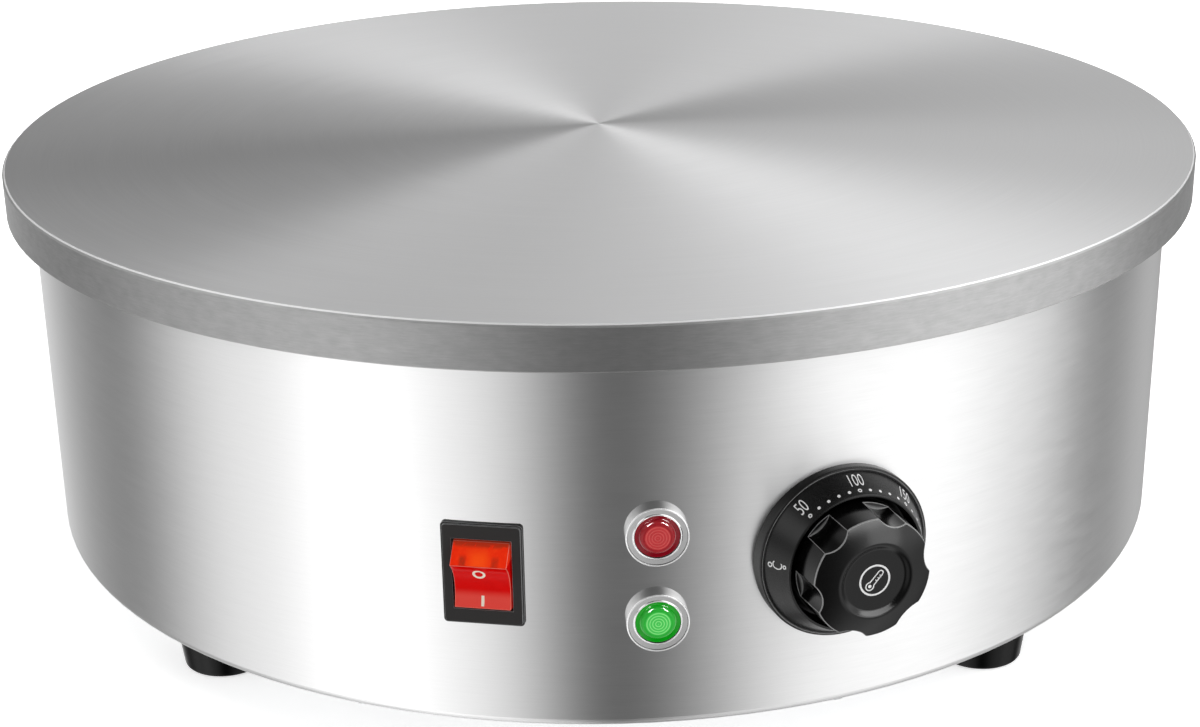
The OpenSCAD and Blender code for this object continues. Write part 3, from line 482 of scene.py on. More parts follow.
def turned_steel():
    """The plate: a turned top that scatters along its radius, a coarser turned edge, and
    between them an arris with a painted highlight: near white and less metallic, a light line."""
    material, tree, shader = blank("turned_steel", Metallic=1.0, Anisotropic=0.9)
    round_the_axis(tree, shader)
    point = object_point(tree)
    marks = use_group(tree, TURNING, Vector=point, Pitch=0.00045, Waver=3.0)
    side = use_group(tree, BRUSHING, Vector=point, Length=45.0, Fineness=2600.0)
    top = ease(tree, split(tree, put(tree, "NewGeometry").outputs["Normal"])[2], *FACE_STEP)
    arris_highlight = product(tree, ease(tree, split(tree, point)[2], *ARRIS_HIGHLIGHT_STEP),
                    maths(tree, "SUBTRACT", 1.0, top))
    top_tone = tint(tree, marks["Tone"], (0.57, 0.57, 0.573), (0.67, 0.67, 0.673))
    edge_tone = tint(tree, side["Tone"], (0.38, 0.38, 0.38), (0.64, 0.64, 0.64))
    # Painted highlight: the arris goes near white and less metallic, a light line round the
    # plate
    edge_tone = tint(tree, arris_highlight, edge_tone, (0.95, 0.95, 0.95))
    tree.links.new(tint(tree, top, edge_tone, top_tone), shader.inputs["Base Color"])
    tree.links.new(ease(tree, arris_highlight, 0.0, 1.0, 1.0, 0.55), shader.inputs["Metallic"])
    edge_rough = 0.6
    top_rough = ease(tree, marks["Tone"], 0.3, 0.7, 0.395, 0.425)
    less = maths(tree, "SUBTRACT", top_rough, edge_rough)
    rough = maths(tree, "MULTIPLY_ADD", top, less, edge_rough)
    tree.links.new(rough, shader.inputs["Roughness"])
    bumped(tree, shader, marks["Height"], 0.000003)
    return material


def brushed_steel():
    """Sheet brushed round the drum: sharp reflections across, long ones up and down."""
    material, tree, shader = blank("brushed_drum_steel", Metallic=1.0, Anisotropic=0.9)
    round_the_axis(tree, shader)
    point = object_point(tree)
    marks = use_group(tree, BRUSHING, Vector=point, Length=14.0)
    own = put(tree, "NewGeometry").outputs["Normal"]
    normal = use_group(tree, TRUE_ROUND, Vector=point, Normal=own)["Normal"]
    tone = tint(tree, marks["Tone"], (0.6916, 0.6916, 0.6916), (0.8208, 0.8208, 0.8208))
    tree.links.new(tone, shader.inputs["Base Color"])
    rough = ease(tree, marks["Tone"], 0.3, 0.7, 0.3069, 0.3531)
    tree.links.new(rough, shader.inputs["Roughness"])
    bumped(tree, shader, marks["Height"], 0.0000015, normal=normal)
    return material


def ring_finish():
    """Lamp ring: a satin face, polished sides and polished beads on the face's two edges. The
    beads' pure white colour is a painted highlight.
    """
    material, tree, shader = blank("turned_ring", Metallic=1.0)
    out = tuple(RED_PLACE.to_3x3().col[2])
    face = ease(tree, dot(tree, put(tree, "NewGeometry").outputs["Normal"], out), *FACE_STEP)
    bead = put(tree, "Attribute", attribute_name="edge").outputs["Fac"]
    grain = use_group(tree, GRAIN, Vector=object_point(tree), Size=0.0006)
    tone = tint(tree, face, (0.72, 0.72, 0.72), (0.68, 0.68, 0.68))
    # Painted highlight: the beads go to pure white, brighter than the metal
    tone = tint(tree, bead, tone, (1.0, 1.0, 1.0))
    mottled = ease(tree, grain["Tone"], 0.3, 0.7, 0.94, 1.0)
    shade = tint(tree, 1.0, tone, join(tree, mottled, mottled, mottled), "MULTIPLY")
    tree.links.new(shade, shader.inputs["Base Color"])
    satin = maths(tree, "MAXIMUM", face, bead)
    tree.links.new(ease(tree, satin, 0.0, 1.0, 0.08, 0.5), shader.inputs["Roughness"])
    bumped(tree, shader, grain["Height"], 0.000001)
    return material


STEEL_TOP, STEEL_DRUM, CHROME = turned_steel(), brushed_steel(), ring_finish()
SHEET = plain_finish("rolled_sheet", (0.60, 0.61, 0.62), 0.36, metallic=1.0, size=0.0012,
                     depth=0.000004)
ZINC = plain_finish("zinc_plate", (0.66, 0.67, 0.68), 0.32, metallic=1.0, size=0.0005,
                    depth=0.000004)
COPPER = plain_finish("drawn_copper", (0.80, 0.46, 0.30), 0.3, metallic=1.0)
BRASS = plain_finish("plain_brass", (0.80, 0.62, 0.30), 0.3, metallic=1.0)
SHEATH = plain_finish("element_sheath", (0.12, 0.11, 0.105), 0.55, metallic=0.6, size=0.0005,
                      spread=0.25)
CERAMIC = plain_finish("ceramic", (0.86, 0.84, 0.78), 0.5, spread=0.04)
FIBRE = plain_finish("ceramic_fibre", (0.84, 0.82, 0.76), 0.9, size=0.0015, depth=0.0003,
                     spread=0.08)
PHENOLIC = plain_finish("phenolic", (0.42, 0.30, 0.17), 0.5, size=0.0006, depth=0.00002)
# The edge colours of the dial and the knob are painted highlights on their edges
BLACK = plain_finish("satin_black", (0.004, 0.004, 0.004), 0.28, size=0.00025, depth=0.000002,
                     spread=0.3, edge=(0.26, 0.26, 0.26), Specular_IOR_Level=0.36)
KNOB_BLACK = plain_finish("knob_black", (0.002, 0.002, 0.002), 0.19, size=0.0003,
                          depth=0.000001, spread=0.3, edge=(0.28, 0.28, 0.28),
                          Specular_IOR_Level=0.26)
SWITCH_BLACK = plain_finish("switch_black", (0.021, 0.0195, 0.019), 0.3, size=0.0002,
                            depth=0.000003, Specular_IOR_Level=0.17)
# Painted highlight on the switch frame's rounded edges
SWITCH_EDGE_HIGHLIGHT = plain_finish("switch_edge_highlight", (0.24, 0.245, 0.25), 0.25, size=0.0002,
                           depth=0.000002)
RUBBER = plain_finish("foot_rubber", (0.0015, 0.0015, 0.0015), 0.2, depth=0.000002, spread=0.3,
                      Specular_IOR_Level=0.14)
GLAND = plain_finish("gland_plastic", (0.022, 0.022, 0.023), 0.45, size=0.0003, spread=0.2)
INK = {"size": 0.0002, "depth": 0.000002, "spread": 0.05}
PRINT = plain_finish("white_print", (0.82, 0.82, 0.82), 0.5, **INK)
WARM_PRINT = plain_finish("ivory_print", (0.92, 0.84, 0.70), 0.5, **INK)
# Painted highlight on the rocker's rounded edges
RED_EDGE_HIGHLIGHT = plain_finish("red_edge_highlight", (0.85, 0.16, 0.11), 0.25, size=0.0003, depth=0.000001,
                        spread=0.05)
RED_LEAD = plain_finish("red_sleeve", (0.55, 0.05, 0.04), 0.5)
BROWN_LEAD = plain_finish("brown_lead", (0.20, 0.08, 0.03), 0.5)
BLUE_LEAD = plain_finish("blue_lead", (0.03, 0.10, 0.42), 0.5)
GREEN_LEAD = plain_finish("green_yellow_lead", (0.20, 0.42, 0.05), 0.5)

# Places on the rocker, in metres up from its pivot or out to either side: where each smooth
# step starts and where it ends
END_UP = (0.0046, 0.0052)
LEG_IN, LEG_OUT, LEG_UP = (0.0032, 0.0042), (0.006, 0.005), (0.0075, 0.0062)
# Painted shade: dark specks and a dark band along the rocker's top edge, in the housing's recess
SPECKS_UP, TOP_SHADE_UP = (0.0084, 0.0094), (0.0088, 0.0099)
HEART_OUT, HEART_UP = (0.0042, 0.0008), (0.0092, 0.0065)
# Painted reflection: the lower face goes paler towards its foot
PALE_REFLECTION_UP = (-0.0042, -0.0072)


def lit_red():
    """Clear red moulding over a lamp: its upper end glows orange, with two darker patches where
    the lamp's legs show through and painted shade along its top edge; its lower face pales
    towards the foot, a painted reflection."""
    material, tree, shader = blank("lit_red", IOR=1.5, Roughness=0.2, Specular_IOR_Level=0.045,
                                   Emission_Strength=1.0)
    point = object_point(tree)
    offset = vector_maths(tree, "SUBTRACT", point, tuple(SWITCH.translation))
    side = maths(tree, "ABSOLUTE", dot(tree, offset, tuple(SWITCH.to_3x3().col[0])))
    up = split(tree, offset)[2]
    end = ease(tree, up, *END_UP)
    grain = noise(tree, point, 420.0, 3.0, 0.6)
    mottled = ease(tree, grain, 0.3, 0.7)
    legs = product(tree, ease(tree, side, *LEG_IN), ease(tree, side, *LEG_OUT),
                   ease(tree, up, *LEG_UP), ease(tree, grain, 0.3, 0.55, 0.5, 1.0))
    # Painted shade along the top edge, with dark specks below it
    top_shade = product(tree, ease(tree, up, *SPECKS_UP), ease(tree, grain, 0.42, 0.5))
    top_shade = maths(tree, "MAXIMUM", top_shade, ease(tree, up, *TOP_SHADE_UP))
    legs_and_top_shade = product(tree, maths(tree, "MAXIMUM", legs, top_shade), end)
    heart = product(tree, ease(tree, side, *HEART_OUT), ease(tree, up, *HEART_UP))
    lit = tint(tree, mottled, (0.66, 0.018, 0.005), (0.72, 0.038, 0.008))
    lit = tint(tree, heart, lit, (0.74, 0.062, 0.009))
    lit = tint(tree, product(tree, legs_and_top_shade, 0.65), lit, (0.28, 0.02, 0.008))
    shade = tint(tree, mottled, (0.48, 0.0005, 0.0002), (0.52, 0.001, 0.0005))
    # Painted reflection: a paler band low on the face
    shade = tint(tree, ease(tree, up, *PALE_REFLECTION_UP), shade, (0.58, 0.075, 0.058))
    tree.links.new(tint(tree, end, shade, lit), shader.inputs["Base Color"])
    glow = tint(tree, end, (0.19, 0.0002, 0.0001), (0.30, 0.010, 0.001))
    glow = tint(tree, product(tree, heart, end), glow, (0.36, 0.025, 0.001))
    glow = tint(tree, product(tree, legs_and_top_shade, 0.8), glow, (0.06, 0.01, 0.004))
    tree.links.new(glow, shader.inputs["Emission Color"])
    return material


LIT_RED = lit_red()
# Sizes of the lenses' ridged middle in millimetres
LENS_FACE_R, RIDGE_PITCH, RIDGE_DEPTH = 3.6, 0.8, 0.025


def lens(name, place, deep, bright, ridge_colour, glow):
    """Coloured lens lit from behind: dark at its flange, lighter in the middle, with ridges in
    rings about its axis. Glow is the share of its colour that it gives off."""
    material, tree, shader = blank(name, Roughness=0.12, IOR=1.45, Specular_IOR_Level=0.2,
                                   Emission_Strength=glow)
    offset = vector_maths(tree, "SUBTRACT", object_point(tree), tuple(place.translation))
    out = tuple(place.to_3x3().col[2])
    along = times(tree, out, dot(tree, offset, out))
    radius = length_of(tree, vector_maths(tree, "SUBTRACT", offset, along))
    middle = ease(tree, radius, 0.0039, 0.0034)
    collar = product(tree, ease(tree, radius, 0.0052, 0.0046), 0.35)
    inner = maths(tree, "MAXIMUM", middle, collar)
    ripple = maths(tree, "COSINE", product(tree, radius, 2 * math.pi / (RIDGE_PITCH * MM)))
    ridge = product(tree, ease(tree, ripple, 0.1, 0.9), middle)
    base = tint(tree, inner, deep, bright)
    base = tint(tree, product(tree, ridge, 0.8), base, ridge_colour)
    tree.links.new(base, shader.inputs["Base Color"])
    tree.links.new(base, shader.inputs["Emission Color"])
    return material


RED_LENS = lens("red_lens", RED_PLACE, (0.18, 0.0002, 0.006), (0.42, 0.035, 0.038),
                (0.50, 0.08, 0.075), 0.3)
GREEN_LENS = lens("green_lens", GREEN_PLACE, (0.0, 0.23, 0.004), (0.05, 0.42, 0.07),
                  (0.22, 0.62, 0.20), 0.5)

CAD_FINISHES = [
    (STEEL_TOP, ["griddle_plate"]),
    (STEEL_DRUM, ["drum_shell"]),
    (SHEET, ["support_ring", "base_plate", "clamp_bars", "heat_shield", "bulb_clip"]),
    (ZINC, ["base_screws", "foot_screws", "foot_nuts", "plate_studs", "plate_washers",
            "plate_nuts", "clamp_studs", "clamp_nuts", "element_pins", "thermostat_shaft",
            "thermostat_screws", "bulb_clip_screws", "red_lamp_nut", "green_lamp_nut",
            "block_screws", "earth_stud"]),
    (SHEATH, ["element_inner", "element_middle", "element_outer"]),
    (CERAMIC, ["element_beads", "terminal_block"]),
    (FIBRE, ["insulation_blanket"]),
    (PHENOLIC, ["thermostat_body"]),
    (COPPER, ["capillary_tube", "sensing_bulb"]),
    (BRASS, ["switch_tabs", "terminal_screws", "earth_nuts"]),
    (BLACK, ["dial_bezel", "red_lamp_body", "green_lamp_body"]),
    (KNOB_BLACK, ["control_knob"]),
    (SWITCH_BLACK, ["switch_housing"]),
    (LIT_RED, ["rocker"]),
    (CHROME, ["red_lamp_ring", "green_lamp_ring"]),
    (RED_LENS, ["red_lamp_lens"]),
    (GREEN_LENS, ["green_lamp_lens"]),
    (RUBBER, ["foot_front_left", "foot_front_right", "foot_rear_right", "foot_rear_left",
              "gland_seal"]),
    (GLAND, ["gland_body", "gland_cap", "gland_locknut"]),
    (RED_LEAD, ["wire_sleeves"]),
    (BROWN_LEAD, ["wires_live"]),
    (BLUE_LEAD, ["wires_neutral"]),
    (GREEN_LEAD, ["wire_earth"]),
]
for finish, names in CAD_FINISHES:
    for node_name in names:
        slots = NODES[node_name].data.materials
        slots.clear()
        slots.append(finish)


# ---- Knob, dial and lamps ----

# Sizes of the knob in millimetres and degrees. The skirt: its radius at the foot and at its
# upper edge, the foot's height and the height that it tapers over
SKIRT_R, EDGE_R, KNOB_FOOT, SKIRT_RISE = 18.3, 17.8, 6.0, 13.7
# The hollows: the radius they are centred on, the ledge under them, their first angle and
# step, and their own radius, which flares by so much over that height
HOLLOW_AT, LEDGE_Z, HOLLOW_TURN, HOLLOW_STEP = 23.5, 9.5, 11.0, 60.0
HOLLOW_R, HOLLOW_FLARE, HOLLOW_RISE = 7.2, 0.6, 14.0
# The crown: its height and radius at the edge, and its rise per square millimetre
KNOB_EDGE, CROWN_R, CROWN_RISE = 20.2, 17.3, 0.01214
# The dish in the crown: its floor, the radius of that floor and of its lip
DISH_FLOOR, DISH_R, DISH_LIP = 21.3, 8.9, 11.5
# The shaft's bore: the angle and place of its flat, its radius and its end
SHAFT_TURN, SHAFT_BORE, FLAT_AT, BORE_TIP = 41.0, 3.05, 2.05, 16.7
# The room under the crown: the hub's radius, the skirt's inside and the roof's height
HUB_R, SKIRT_INSIDE, ROOM_ROOF = 5.6, 14.5, 16.2
# The wall's upper end, the corner above it and how far that is rounded
WALL_TOP, CORNER_Z, CORNER_ROUND = 18.6, 20.0, 0.4
KNOB_COLUMNS = 840


def smooth_min(a, b, width):
    """The smaller of a and b, rounded off over that width where they cross."""
    h = np.maximum(width - np.abs(a - b), 0) / width
    return np.minimum(a, b) - h * h * width / 4


def crown_height(r):
    """Height of the knob's face: the crown 20.2 + 0.01214 (17.3^2 - r^2), brought down to the
    dish's floor by a smooth step between the dish's edge and its lip."""
    crown = KNOB_EDGE + CROWN_RISE * (CROWN_R**2 - r * r)
    t = np.clip((r - DISH_R) / (DISH_LIP - DISH_R), 0, 1)
    return DISH_FLOOR + (crown - DISH_FLOOR) * t * t * (3 - 2 * t)


def knob_piece(material):
    """Knob as rows of (radius, height) round its axis. The wall's radius at angle a and height
    z is the rounded smaller of the skirt's and of the six conical hollows', which is
    23.5 cos a - sqrt(c^2 - (23.5 sin a)^2) about each hollow's middle, where c is
    7.2 + 0.6 (z - 9.5) / 14. The corner above the wall is a quadratic Bezier curve."""
    turn = 360.0 * np.arange(KNOB_COLUMNS) / KNOB_COLUMNS
    off = np.radians((turn - HOLLOW_TURN + HOLLOW_STEP / 2) % HOLLOW_STEP - HOLLOW_STEP / 2)

    def wall(z):
        skirt = SKIRT_R + (EDGE_R - SKIRT_R) * np.clip((z - KNOB_FOOT) / SKIRT_RISE, 0, 1)
        cone = HOLLOW_R + HOLLOW_FLARE * (z - LEDGE_Z) / HOLLOW_RISE
        inside = cone**2 - (HOLLOW_AT * np.sin(off)) ** 2
        hollow = HOLLOW_AT * np.cos(off) - np.sqrt(np.maximum(inside, 0))
        hollow = np.where(inside > 0, hollow, 2 * SKIRT_R)
        meet = np.clip(1 - np.abs(skirt - hollow) / 0.2, 0, 1)
        return skirt, smooth_min(skirt + 0 * off, hollow, 0.4), meet

    rows = []

    def row(r, z, edge=0.0):
        rows.append((r + 0 * off, z + 0 * off, edge + 0 * off))

    flat = FLAT_AT / np.maximum(np.cos(np.radians(turn - SHAFT_TURN)), 1e-3)
    d_bore = np.where(flat > 0, np.minimum(flat, SHAFT_BORE), SHAFT_BORE)
    under = [(0, BORE_TIP), (d_bore, BORE_TIP), (d_bore, KNOB_FOOT + 0.3),
             (d_bore + 0.3, KNOB_FOOT), (HUB_R - 0.2, KNOB_FOOT), (HUB_R, KNOB_FOOT + 0.2),
             (HUB_R, ROOM_ROOF), (SKIRT_INSIDE, ROOM_ROOF), (SKIRT_INSIDE, KNOB_FOOT + 0.2),
             (SKIRT_INSIDE + 0.2, KNOB_FOOT)]
    under += arc((SKIRT_R - 0.35, KNOB_FOOT + 0.35), 0.35, -90, 0, 4)
    for r, z in under:
        row(r, z)
    skirt, foot, _ = wall(LEDGE_Z)
    depth = skirt - foot
    cut = np.clip(depth / 0.1, 0, 1)
    for z in (7.4, 8.6):
        row(skirt, z)
    # Edge weights paint a highlight: on the ledge's corner, on the ridges where the hollows meet
    # the skirt, and round the crown's corner
    for inset, drop, edge in ((0.0, 0.26, 0), (0.04, 0.11, 1), (0.11, 0.04, 1), (0.26, 0.0, 0)):
        row(skirt - np.minimum(depth, inset), LEDGE_Z - drop * cut, edge * cut)
    row(foot + np.minimum(depth, 0.2) * 0.8, LEDGE_Z, 0.8 * cut)
    row(foot, LEDGE_Z + 0.05 * cut, 0.8 * cut)
    for z in np.linspace(LEDGE_Z + 0.25, WALL_TOP, 10):
        _, r, meet = wall(z)
        row(r, z, meet)
    corner, meet = wall(CORNER_Z)[1:]
    top, inner = crown_height(corner), corner - CORNER_ROUND
    below = top - CORNER_ROUND
    wall_end = wall(WALL_TOP)[1]
    low = wall_end + (corner - wall_end) * (below - WALL_TOP) / (CORNER_Z - WALL_TOP)
    for t in np.linspace(0, 1, 9):
        r = (1 - t) ** 2 * low + 2 * t * (1 - t) * corner + t * t * inner
        z = (1 - t) ** 2 * below + 2 * t * (1 - t) * top + t * t * crown_height(inner)
        row(r, z, np.maximum(4 * t * (1 - t), meet * (1 - t)))
    for t in np.linspace(0.1, 1, 9):
        r = inner + (12.0 - inner) * t
        row(r, crown_height(r))
    for r in np.concatenate([np.linspace(11.8, 8.7, 18), (8.0, 6.0, 3.0, 0.0)]):
        row(r, crown_height(np.array(r)))
    angle = np.radians(turn)
    r = np.array([one[0] for one in rows]) * MM
    z = np.array([one[1] for one in rows]) * MM
    points = np.stack([r * np.cos(angle), r * np.sin(angle), z], -1).reshape(-1, 3)
    edge = np.array([one[2] for one in rows])
    faces = grid_faces(len(rows), KNOB_COLUMNS)
    knob = mesh_piece("knob_with_hollows", place_points(points, DIAL), faces, material, "knob",
                      edge=edge)
    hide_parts("control_knob")
    return tidy_mesh(knob, 40)


def dial_piece(material):
    """Dial: a lip on the drum, the cone that carries the scale and the knob's well, turned
    from a profile of (radius, height) pairs in millimetres."""
    profile = [(5.0, 0.0), (5.0, 3.0), (19.6, 3.0), (19.9, 3.2), (19.9, 10.1)]
    profile += arc((20.15, 10.12), 0.25, 180, 90, 3) + arc((20.35, 9.87), 0.5, 90, 26, 4)
    profile += [(21.1, 9.35), (22.0, 7.6), (23.0, 5.65), (24.0, 3.72), (24.6, 2.58)]
    profile += [(24.68, 2.45), (24.76, 2.4), (24.86, 2.4), (24.96, 2.46)]
    lip = len(profile)
    profile += arc((25.4, 2.25), 0.5, 140, 0, 8) + [(25.9, 1.2), (25.9, 0.0), (5.0, 0.0)]
    shape = [(r * MM, z * MM) for r, z in profile]
    last = len(shape) - 1
    edge = np.zeros(len(shape))
    # Painted highlight: a light line on the inner slope of the lip
    edge[lip : lip + 3] = 1
    dial = turned("dial_with_cone", shape, DIAL, material, "housing", 256, (0, last - 1, last),
                  38, edge)
    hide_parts("dial_bezel")
    return dial


def lamp_pieces(colour, place, ring_material, lens_material):
    """A turned ring with a bead on each edge of its face, and a lens with a raised middle whose
    face is 5.4 + 0.012 (3.6^2 - r^2) + 0.025 cos(2 pi r / 0.8) millimetres high, ridged in
    rings. Neither shows in the drum nor throws a shadow on it."""
    ring = [(5.5, -20.0), (5.5, 1.5), (6.42, 1.5), (6.42, 4.55)]
    bead = len(ring)
    ring += arc((6.62, 4.7), 0.2, 180, 20, 5) + [(6.95, 4.66), (7.6, 4.72), (8.25, 4.8)]
    rim = len(ring)
    ring += arc((8.5, 4.85), 0.35, 110, 0, 7) + [(8.85, 2.0), (8.85, 0.0), (8.0, 0.0)]
    ring += [(8.0, -20.0), (5.5, -20.0)]
    shape = [(r * MM, z * MM) for r, z in ring]
    seats = [i for i, pair in enumerate(ring) if pair[1] == 0.0]
    edge = np.zeros(len(ring))
    # These edge weights carry the beads' painted highlight
    edge[bead : bead + 5] = 1
    edge[rim : rim + 6] = 1
    made = turned(colour + "_lamp_bead_ring", shape, place, ring_material, "housing", 160,
                  seats, edge=edge)
    made.visible_glossy = made.visible_shadow = False
    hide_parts(colour + "_lamp_ring")
    r = np.linspace(LENS_FACE_R, 0, 45)
    ridges = RIDGE_DEPTH * np.cos(2 * np.pi * r / RIDGE_PITCH)
    face = list(zip(r, 5.4 + 0.012 * (LENS_FACE_R**2 - r * r) + ridges))
    glass = [(0, 1.62), (6.25, 1.62), (6.34, 1.7), (6.34, 4.2)]
    glass += arc((6.1, 4.2), 0.24, 0, 80, 3) + [(5.8, 4.3), (5.45, 4.12)]
    glass += arc((5.3, 4.28), 0.24, 270, 190, 4) + arc((3.72, 4.1), 1.3, 12, 84, 12) + face
    shape = [(a * MM, b * MM) for a, b in glass]
    made = turned(colour + "_lamp_ridged_lens", shape, place, lens_material, "housing", 128)
    made.visible_glossy = made.visible_shadow = False
    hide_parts(colour + "_lamp_lens")
    return made


# ---- Printed marks ----

# In millimetres: half a mark's thickness, and how far it stands off what it is printed on
MARK_HALF, MARK_LIFT = 0.01, 0.03


def flat_shape(loops=None, text=None, size=1.0, offset=0.0):
    """Points and triangles of a filled flat shape 0.02 mm thick: closed loops of (x, y) points,
    or centred lettering, in millimetres."""
    if text is None:
        curve = bpy.data.curves.new("marks", "CURVE")
        curve.dimensions, curve.fill_mode = "2D", "BOTH"
        for loop in loops:
            spline = curve.splines.new("POLY")
            spline.points.add(len(loop) - 1)
            flat = np.column_stack([loop, np.zeros(len(loop)), np.ones(len(loop))])
            spline.points.foreach_set("co", flat.ravel())
            spline.use_cyclic_u = True
    else:
        curve = bpy.data.curves.new("marks", "FONT")
        curve.body, curve.size, curve.offset = text, size, offset
        curve.align_x, curve.align_y = "CENTER", "CENTER"
        curve.resolution_u = 4
    curve.extrude = MARK_HALF
    holder = in_scene("marks", curve)
    graph = bpy.context.evaluated_depsgraph_get()
    mesh = bpy.data.meshes.new_from_object(holder.evaluated_get(graph))
    points = np.empty(len(mesh.vertices) * 3)
    mesh.vertices.foreach_get("co", points)
    mesh.calc_loop_triangles()
    faces = np.empty(len(mesh.loop_triangles) * 3, int)
    mesh.loop_triangles.foreach_get("vertices", faces)
    bpy.data.objects.remove(holder)
    bpy.data.curves.remove(curve)
    bpy.data.meshes.remove(mesh)
    return points.reshape(-1, 3), faces.reshape(-1, 3)


def circle(x, y, r, sides=28):
    """Closed loop of points on a circle about (x, y)."""
    a = 2 * np.pi * np.arange(sides) / sides
    return np.column_stack([x + r * np.cos(a), y + r * np.sin(a)])


def printed(name, shapes, wrap, place, material, body):
    """One piece of all the shapes, their points carried by wrap onto a surface in the frame of
    place."""
    points, faces, start = [], [], 0
    for flat, triangles in shapes:
        points.append(flat)
        faces.append(triangles + start)
        start += len(flat)
    local = wrap(np.concatenate(points)) * MM
    piece = mesh_piece(name, place_points(local, place), np.concatenate(faces), material, body,
                       False)
    return tidy_mesh(piece)


# The (radius, height) of the dial's upper edge in millimetres, and the way down its cone
CONE_TOP, CONE_SLANT = (21.0, 9.6), (3.6 / 7.87, -7.0 / 7.87)


def onto_cone(points):
    """(angle in degrees, distance down the cone, height) to a place on the dial's cone: the
    upper edge, plus the distance along the slant, plus the height along its normal."""
    angle, down, lift = np.radians(points[:, 0]), points[:, 1], points[:, 2] + MARK_LIFT
    r = CONE_TOP[0] + down * CONE_SLANT[0] - lift * CONE_SLANT[1]
    z = CONE_TOP[1] + down * CONE_SLANT[1] + lift * CONE_SLANT[0]
    return np.column_stack([r * np.cos(angle), r * np.sin(angle), z])


def at_scale(shape, degrees, down, stretch=1.0):
    """A flat shape put on the scale, its foot towards the knob: x runs clockwise."""
    flat, triangles = shape
    r = CONE_TOP[0] + down * CONE_SLANT[0]
    turn = degrees - np.degrees(flat[:, 0] * stretch / r)
    return np.column_stack([turn, down + flat[:, 1], flat[:, 2]]), triangles[:, ::-1]


# Angles on the dial, in degrees: the zero mark, the mark for 50, and the step for 10 degrees
ZERO_AT, FIFTY_AT, DOT_STEP = 174.4, 130.0, 8.65
# Millimetres down the cone to the dots and to the numbers
DOTS_DOWN, NUMBERS_DOWN = 0.95, 4.5


def ring_mark(outer, inner):
    """A small open ring."""
    return flat_shape([circle(0, 0, outer), circle(0, 0, inner)])


def dial_scale(material):
    """Ring marks at 0, 50, 100 ... 300, a dot for every 10 degrees between, and numbers."""
    shapes = []
    for count in range(26):
        degrees = FIFTY_AT - DOT_STEP * count
        if count % 5 == 0:
            shapes.append(at_scale(ring_mark(0.62, 0.26), degrees, DOTS_DOWN))
            label = flat_shape(text=str(50 + 10 * count), size=6.0, offset=-0.02)
            shapes.append(at_scale(label, degrees, NUMBERS_DOWN, 0.56))
        else:
            shapes.append(at_scale(flat_shape([circle(0, 0, 0.47)]), degrees, DOTS_DOWN))
    shapes.append(at_scale(ring_mark(0.62, 0.26), ZERO_AT, DOTS_DOWN))
    letter = flat_shape(text="C", size=5.0, offset=-0.03)
    shapes.append(at_scale(letter, ZERO_AT + 1, 3.2, 0.7))
    shapes.append(at_scale(ring_mark(0.8, 0.42), ZERO_AT + 2, 5.9))
    return printed("dial_scale", shapes, onto_cone, DIAL, material, "housing")


def stroke(path, width):
    """Two loops, half a width either side of a closed path."""
    step = np.roll(path, -1, 0) - np.roll(path, 1, 0)
    side = np.column_stack([step[:, 1], -step[:, 0]])
    side /= np.linalg.norm(side, axis=1)[:, None]
    return [path + side * width / 2, path - side * width / 2]


def thermometer_sign(material):
    """Ring round a plain thermometer: a tube with a round cap, a bulb and three ticks."""
    bulb, tube, neck, lean = 1.2, 0.75, -1.75, math.radians(-42)
    a = np.radians(np.linspace(0, 180, 13))
    cap = np.column_stack([tube * np.cos(a), 2.6 + tube * np.sin(a)])
    half = math.degrees(math.asin(tube / bulb))
    b = np.radians(np.linspace(90 + half, 450 - half, 25))
    ball = np.column_stack([bulb * np.cos(b), neck - 0.45 + bulb * np.sin(b)])
    outline = np.concatenate([cap, ball])
    shapes = [flat_shape([circle(0, 0, 4.7, 72), circle(0, 0, 4.15, 72)]),
              flat_shape(stroke(outline, 0.34)), flat_shape([circle(0, neck - 0.45, 0.5)])]
    for y in (0.2, 1.1, 2.0):
        tick = np.array([(0.1, y - 0.12), (tube, y - 0.12), (tube, y + 0.12), (0.1, y + 0.12)])
        shapes.append(flat_shape([tick]))

    def wrap(points):
        x = points[:, 0] * math.cos(lean) - points[:, 1] * math.sin(lean)
        y = points[:, 0] * math.sin(lean) + points[:, 1] * math.cos(lean)
        return np.column_stack([x, y, points[:, 2] + DISH_FLOOR + MARK_LIFT])

    return printed("knob_sign", shapes, wrap, DIAL, material, "knob")


# The rocker's tilt, and its hollow face in millimetres: the radius, and how far in front of the
# pivot its centre lies
ROCKER_TILT, FACE_R, FACE_C = math.radians(15.0), 12.159, 19.419


def onto_rocker(points):
    """(x, distance up the hollow face, height) to a place on the rocker's face, which is an arc
    about a line in front of the pivot, tilted with the rocker."""
    up = points[:, 1]
    away = FACE_R - points[:, 2] - MARK_LIFT
    turn = np.arcsin(up / FACE_R)
    y, h = away * np.sin(turn), FACE_C - away * np.cos(turn)
    c, s = math.cos(ROCKER_TILT), math.sin(ROCKER_TILT)
    return np.column_stack([points[:, 0], y * c - h * s, y * s + h * c - PIVOT_IN / MM])


def rocker_marks(material):
    """The ring for off and the bar for on."""
    bar = np.array([(-0.42, -7.1), (0.42, -7.1), (0.42, -6.2), (0.42, -5.3), (0.42, -4.4),
                    (-0.42, -4.4), (-0.42, -5.3), (-0.42, -6.2)])
    shapes = [flat_shape([circle(-0.55, 3.1, 1.85, 40), circle(-0.55, 3.1, 1.12, 40)]),
              flat_shape([bar])]
    return printed("rocker_marks", shapes, onto_rocker, SWITCH, material, "rocker")


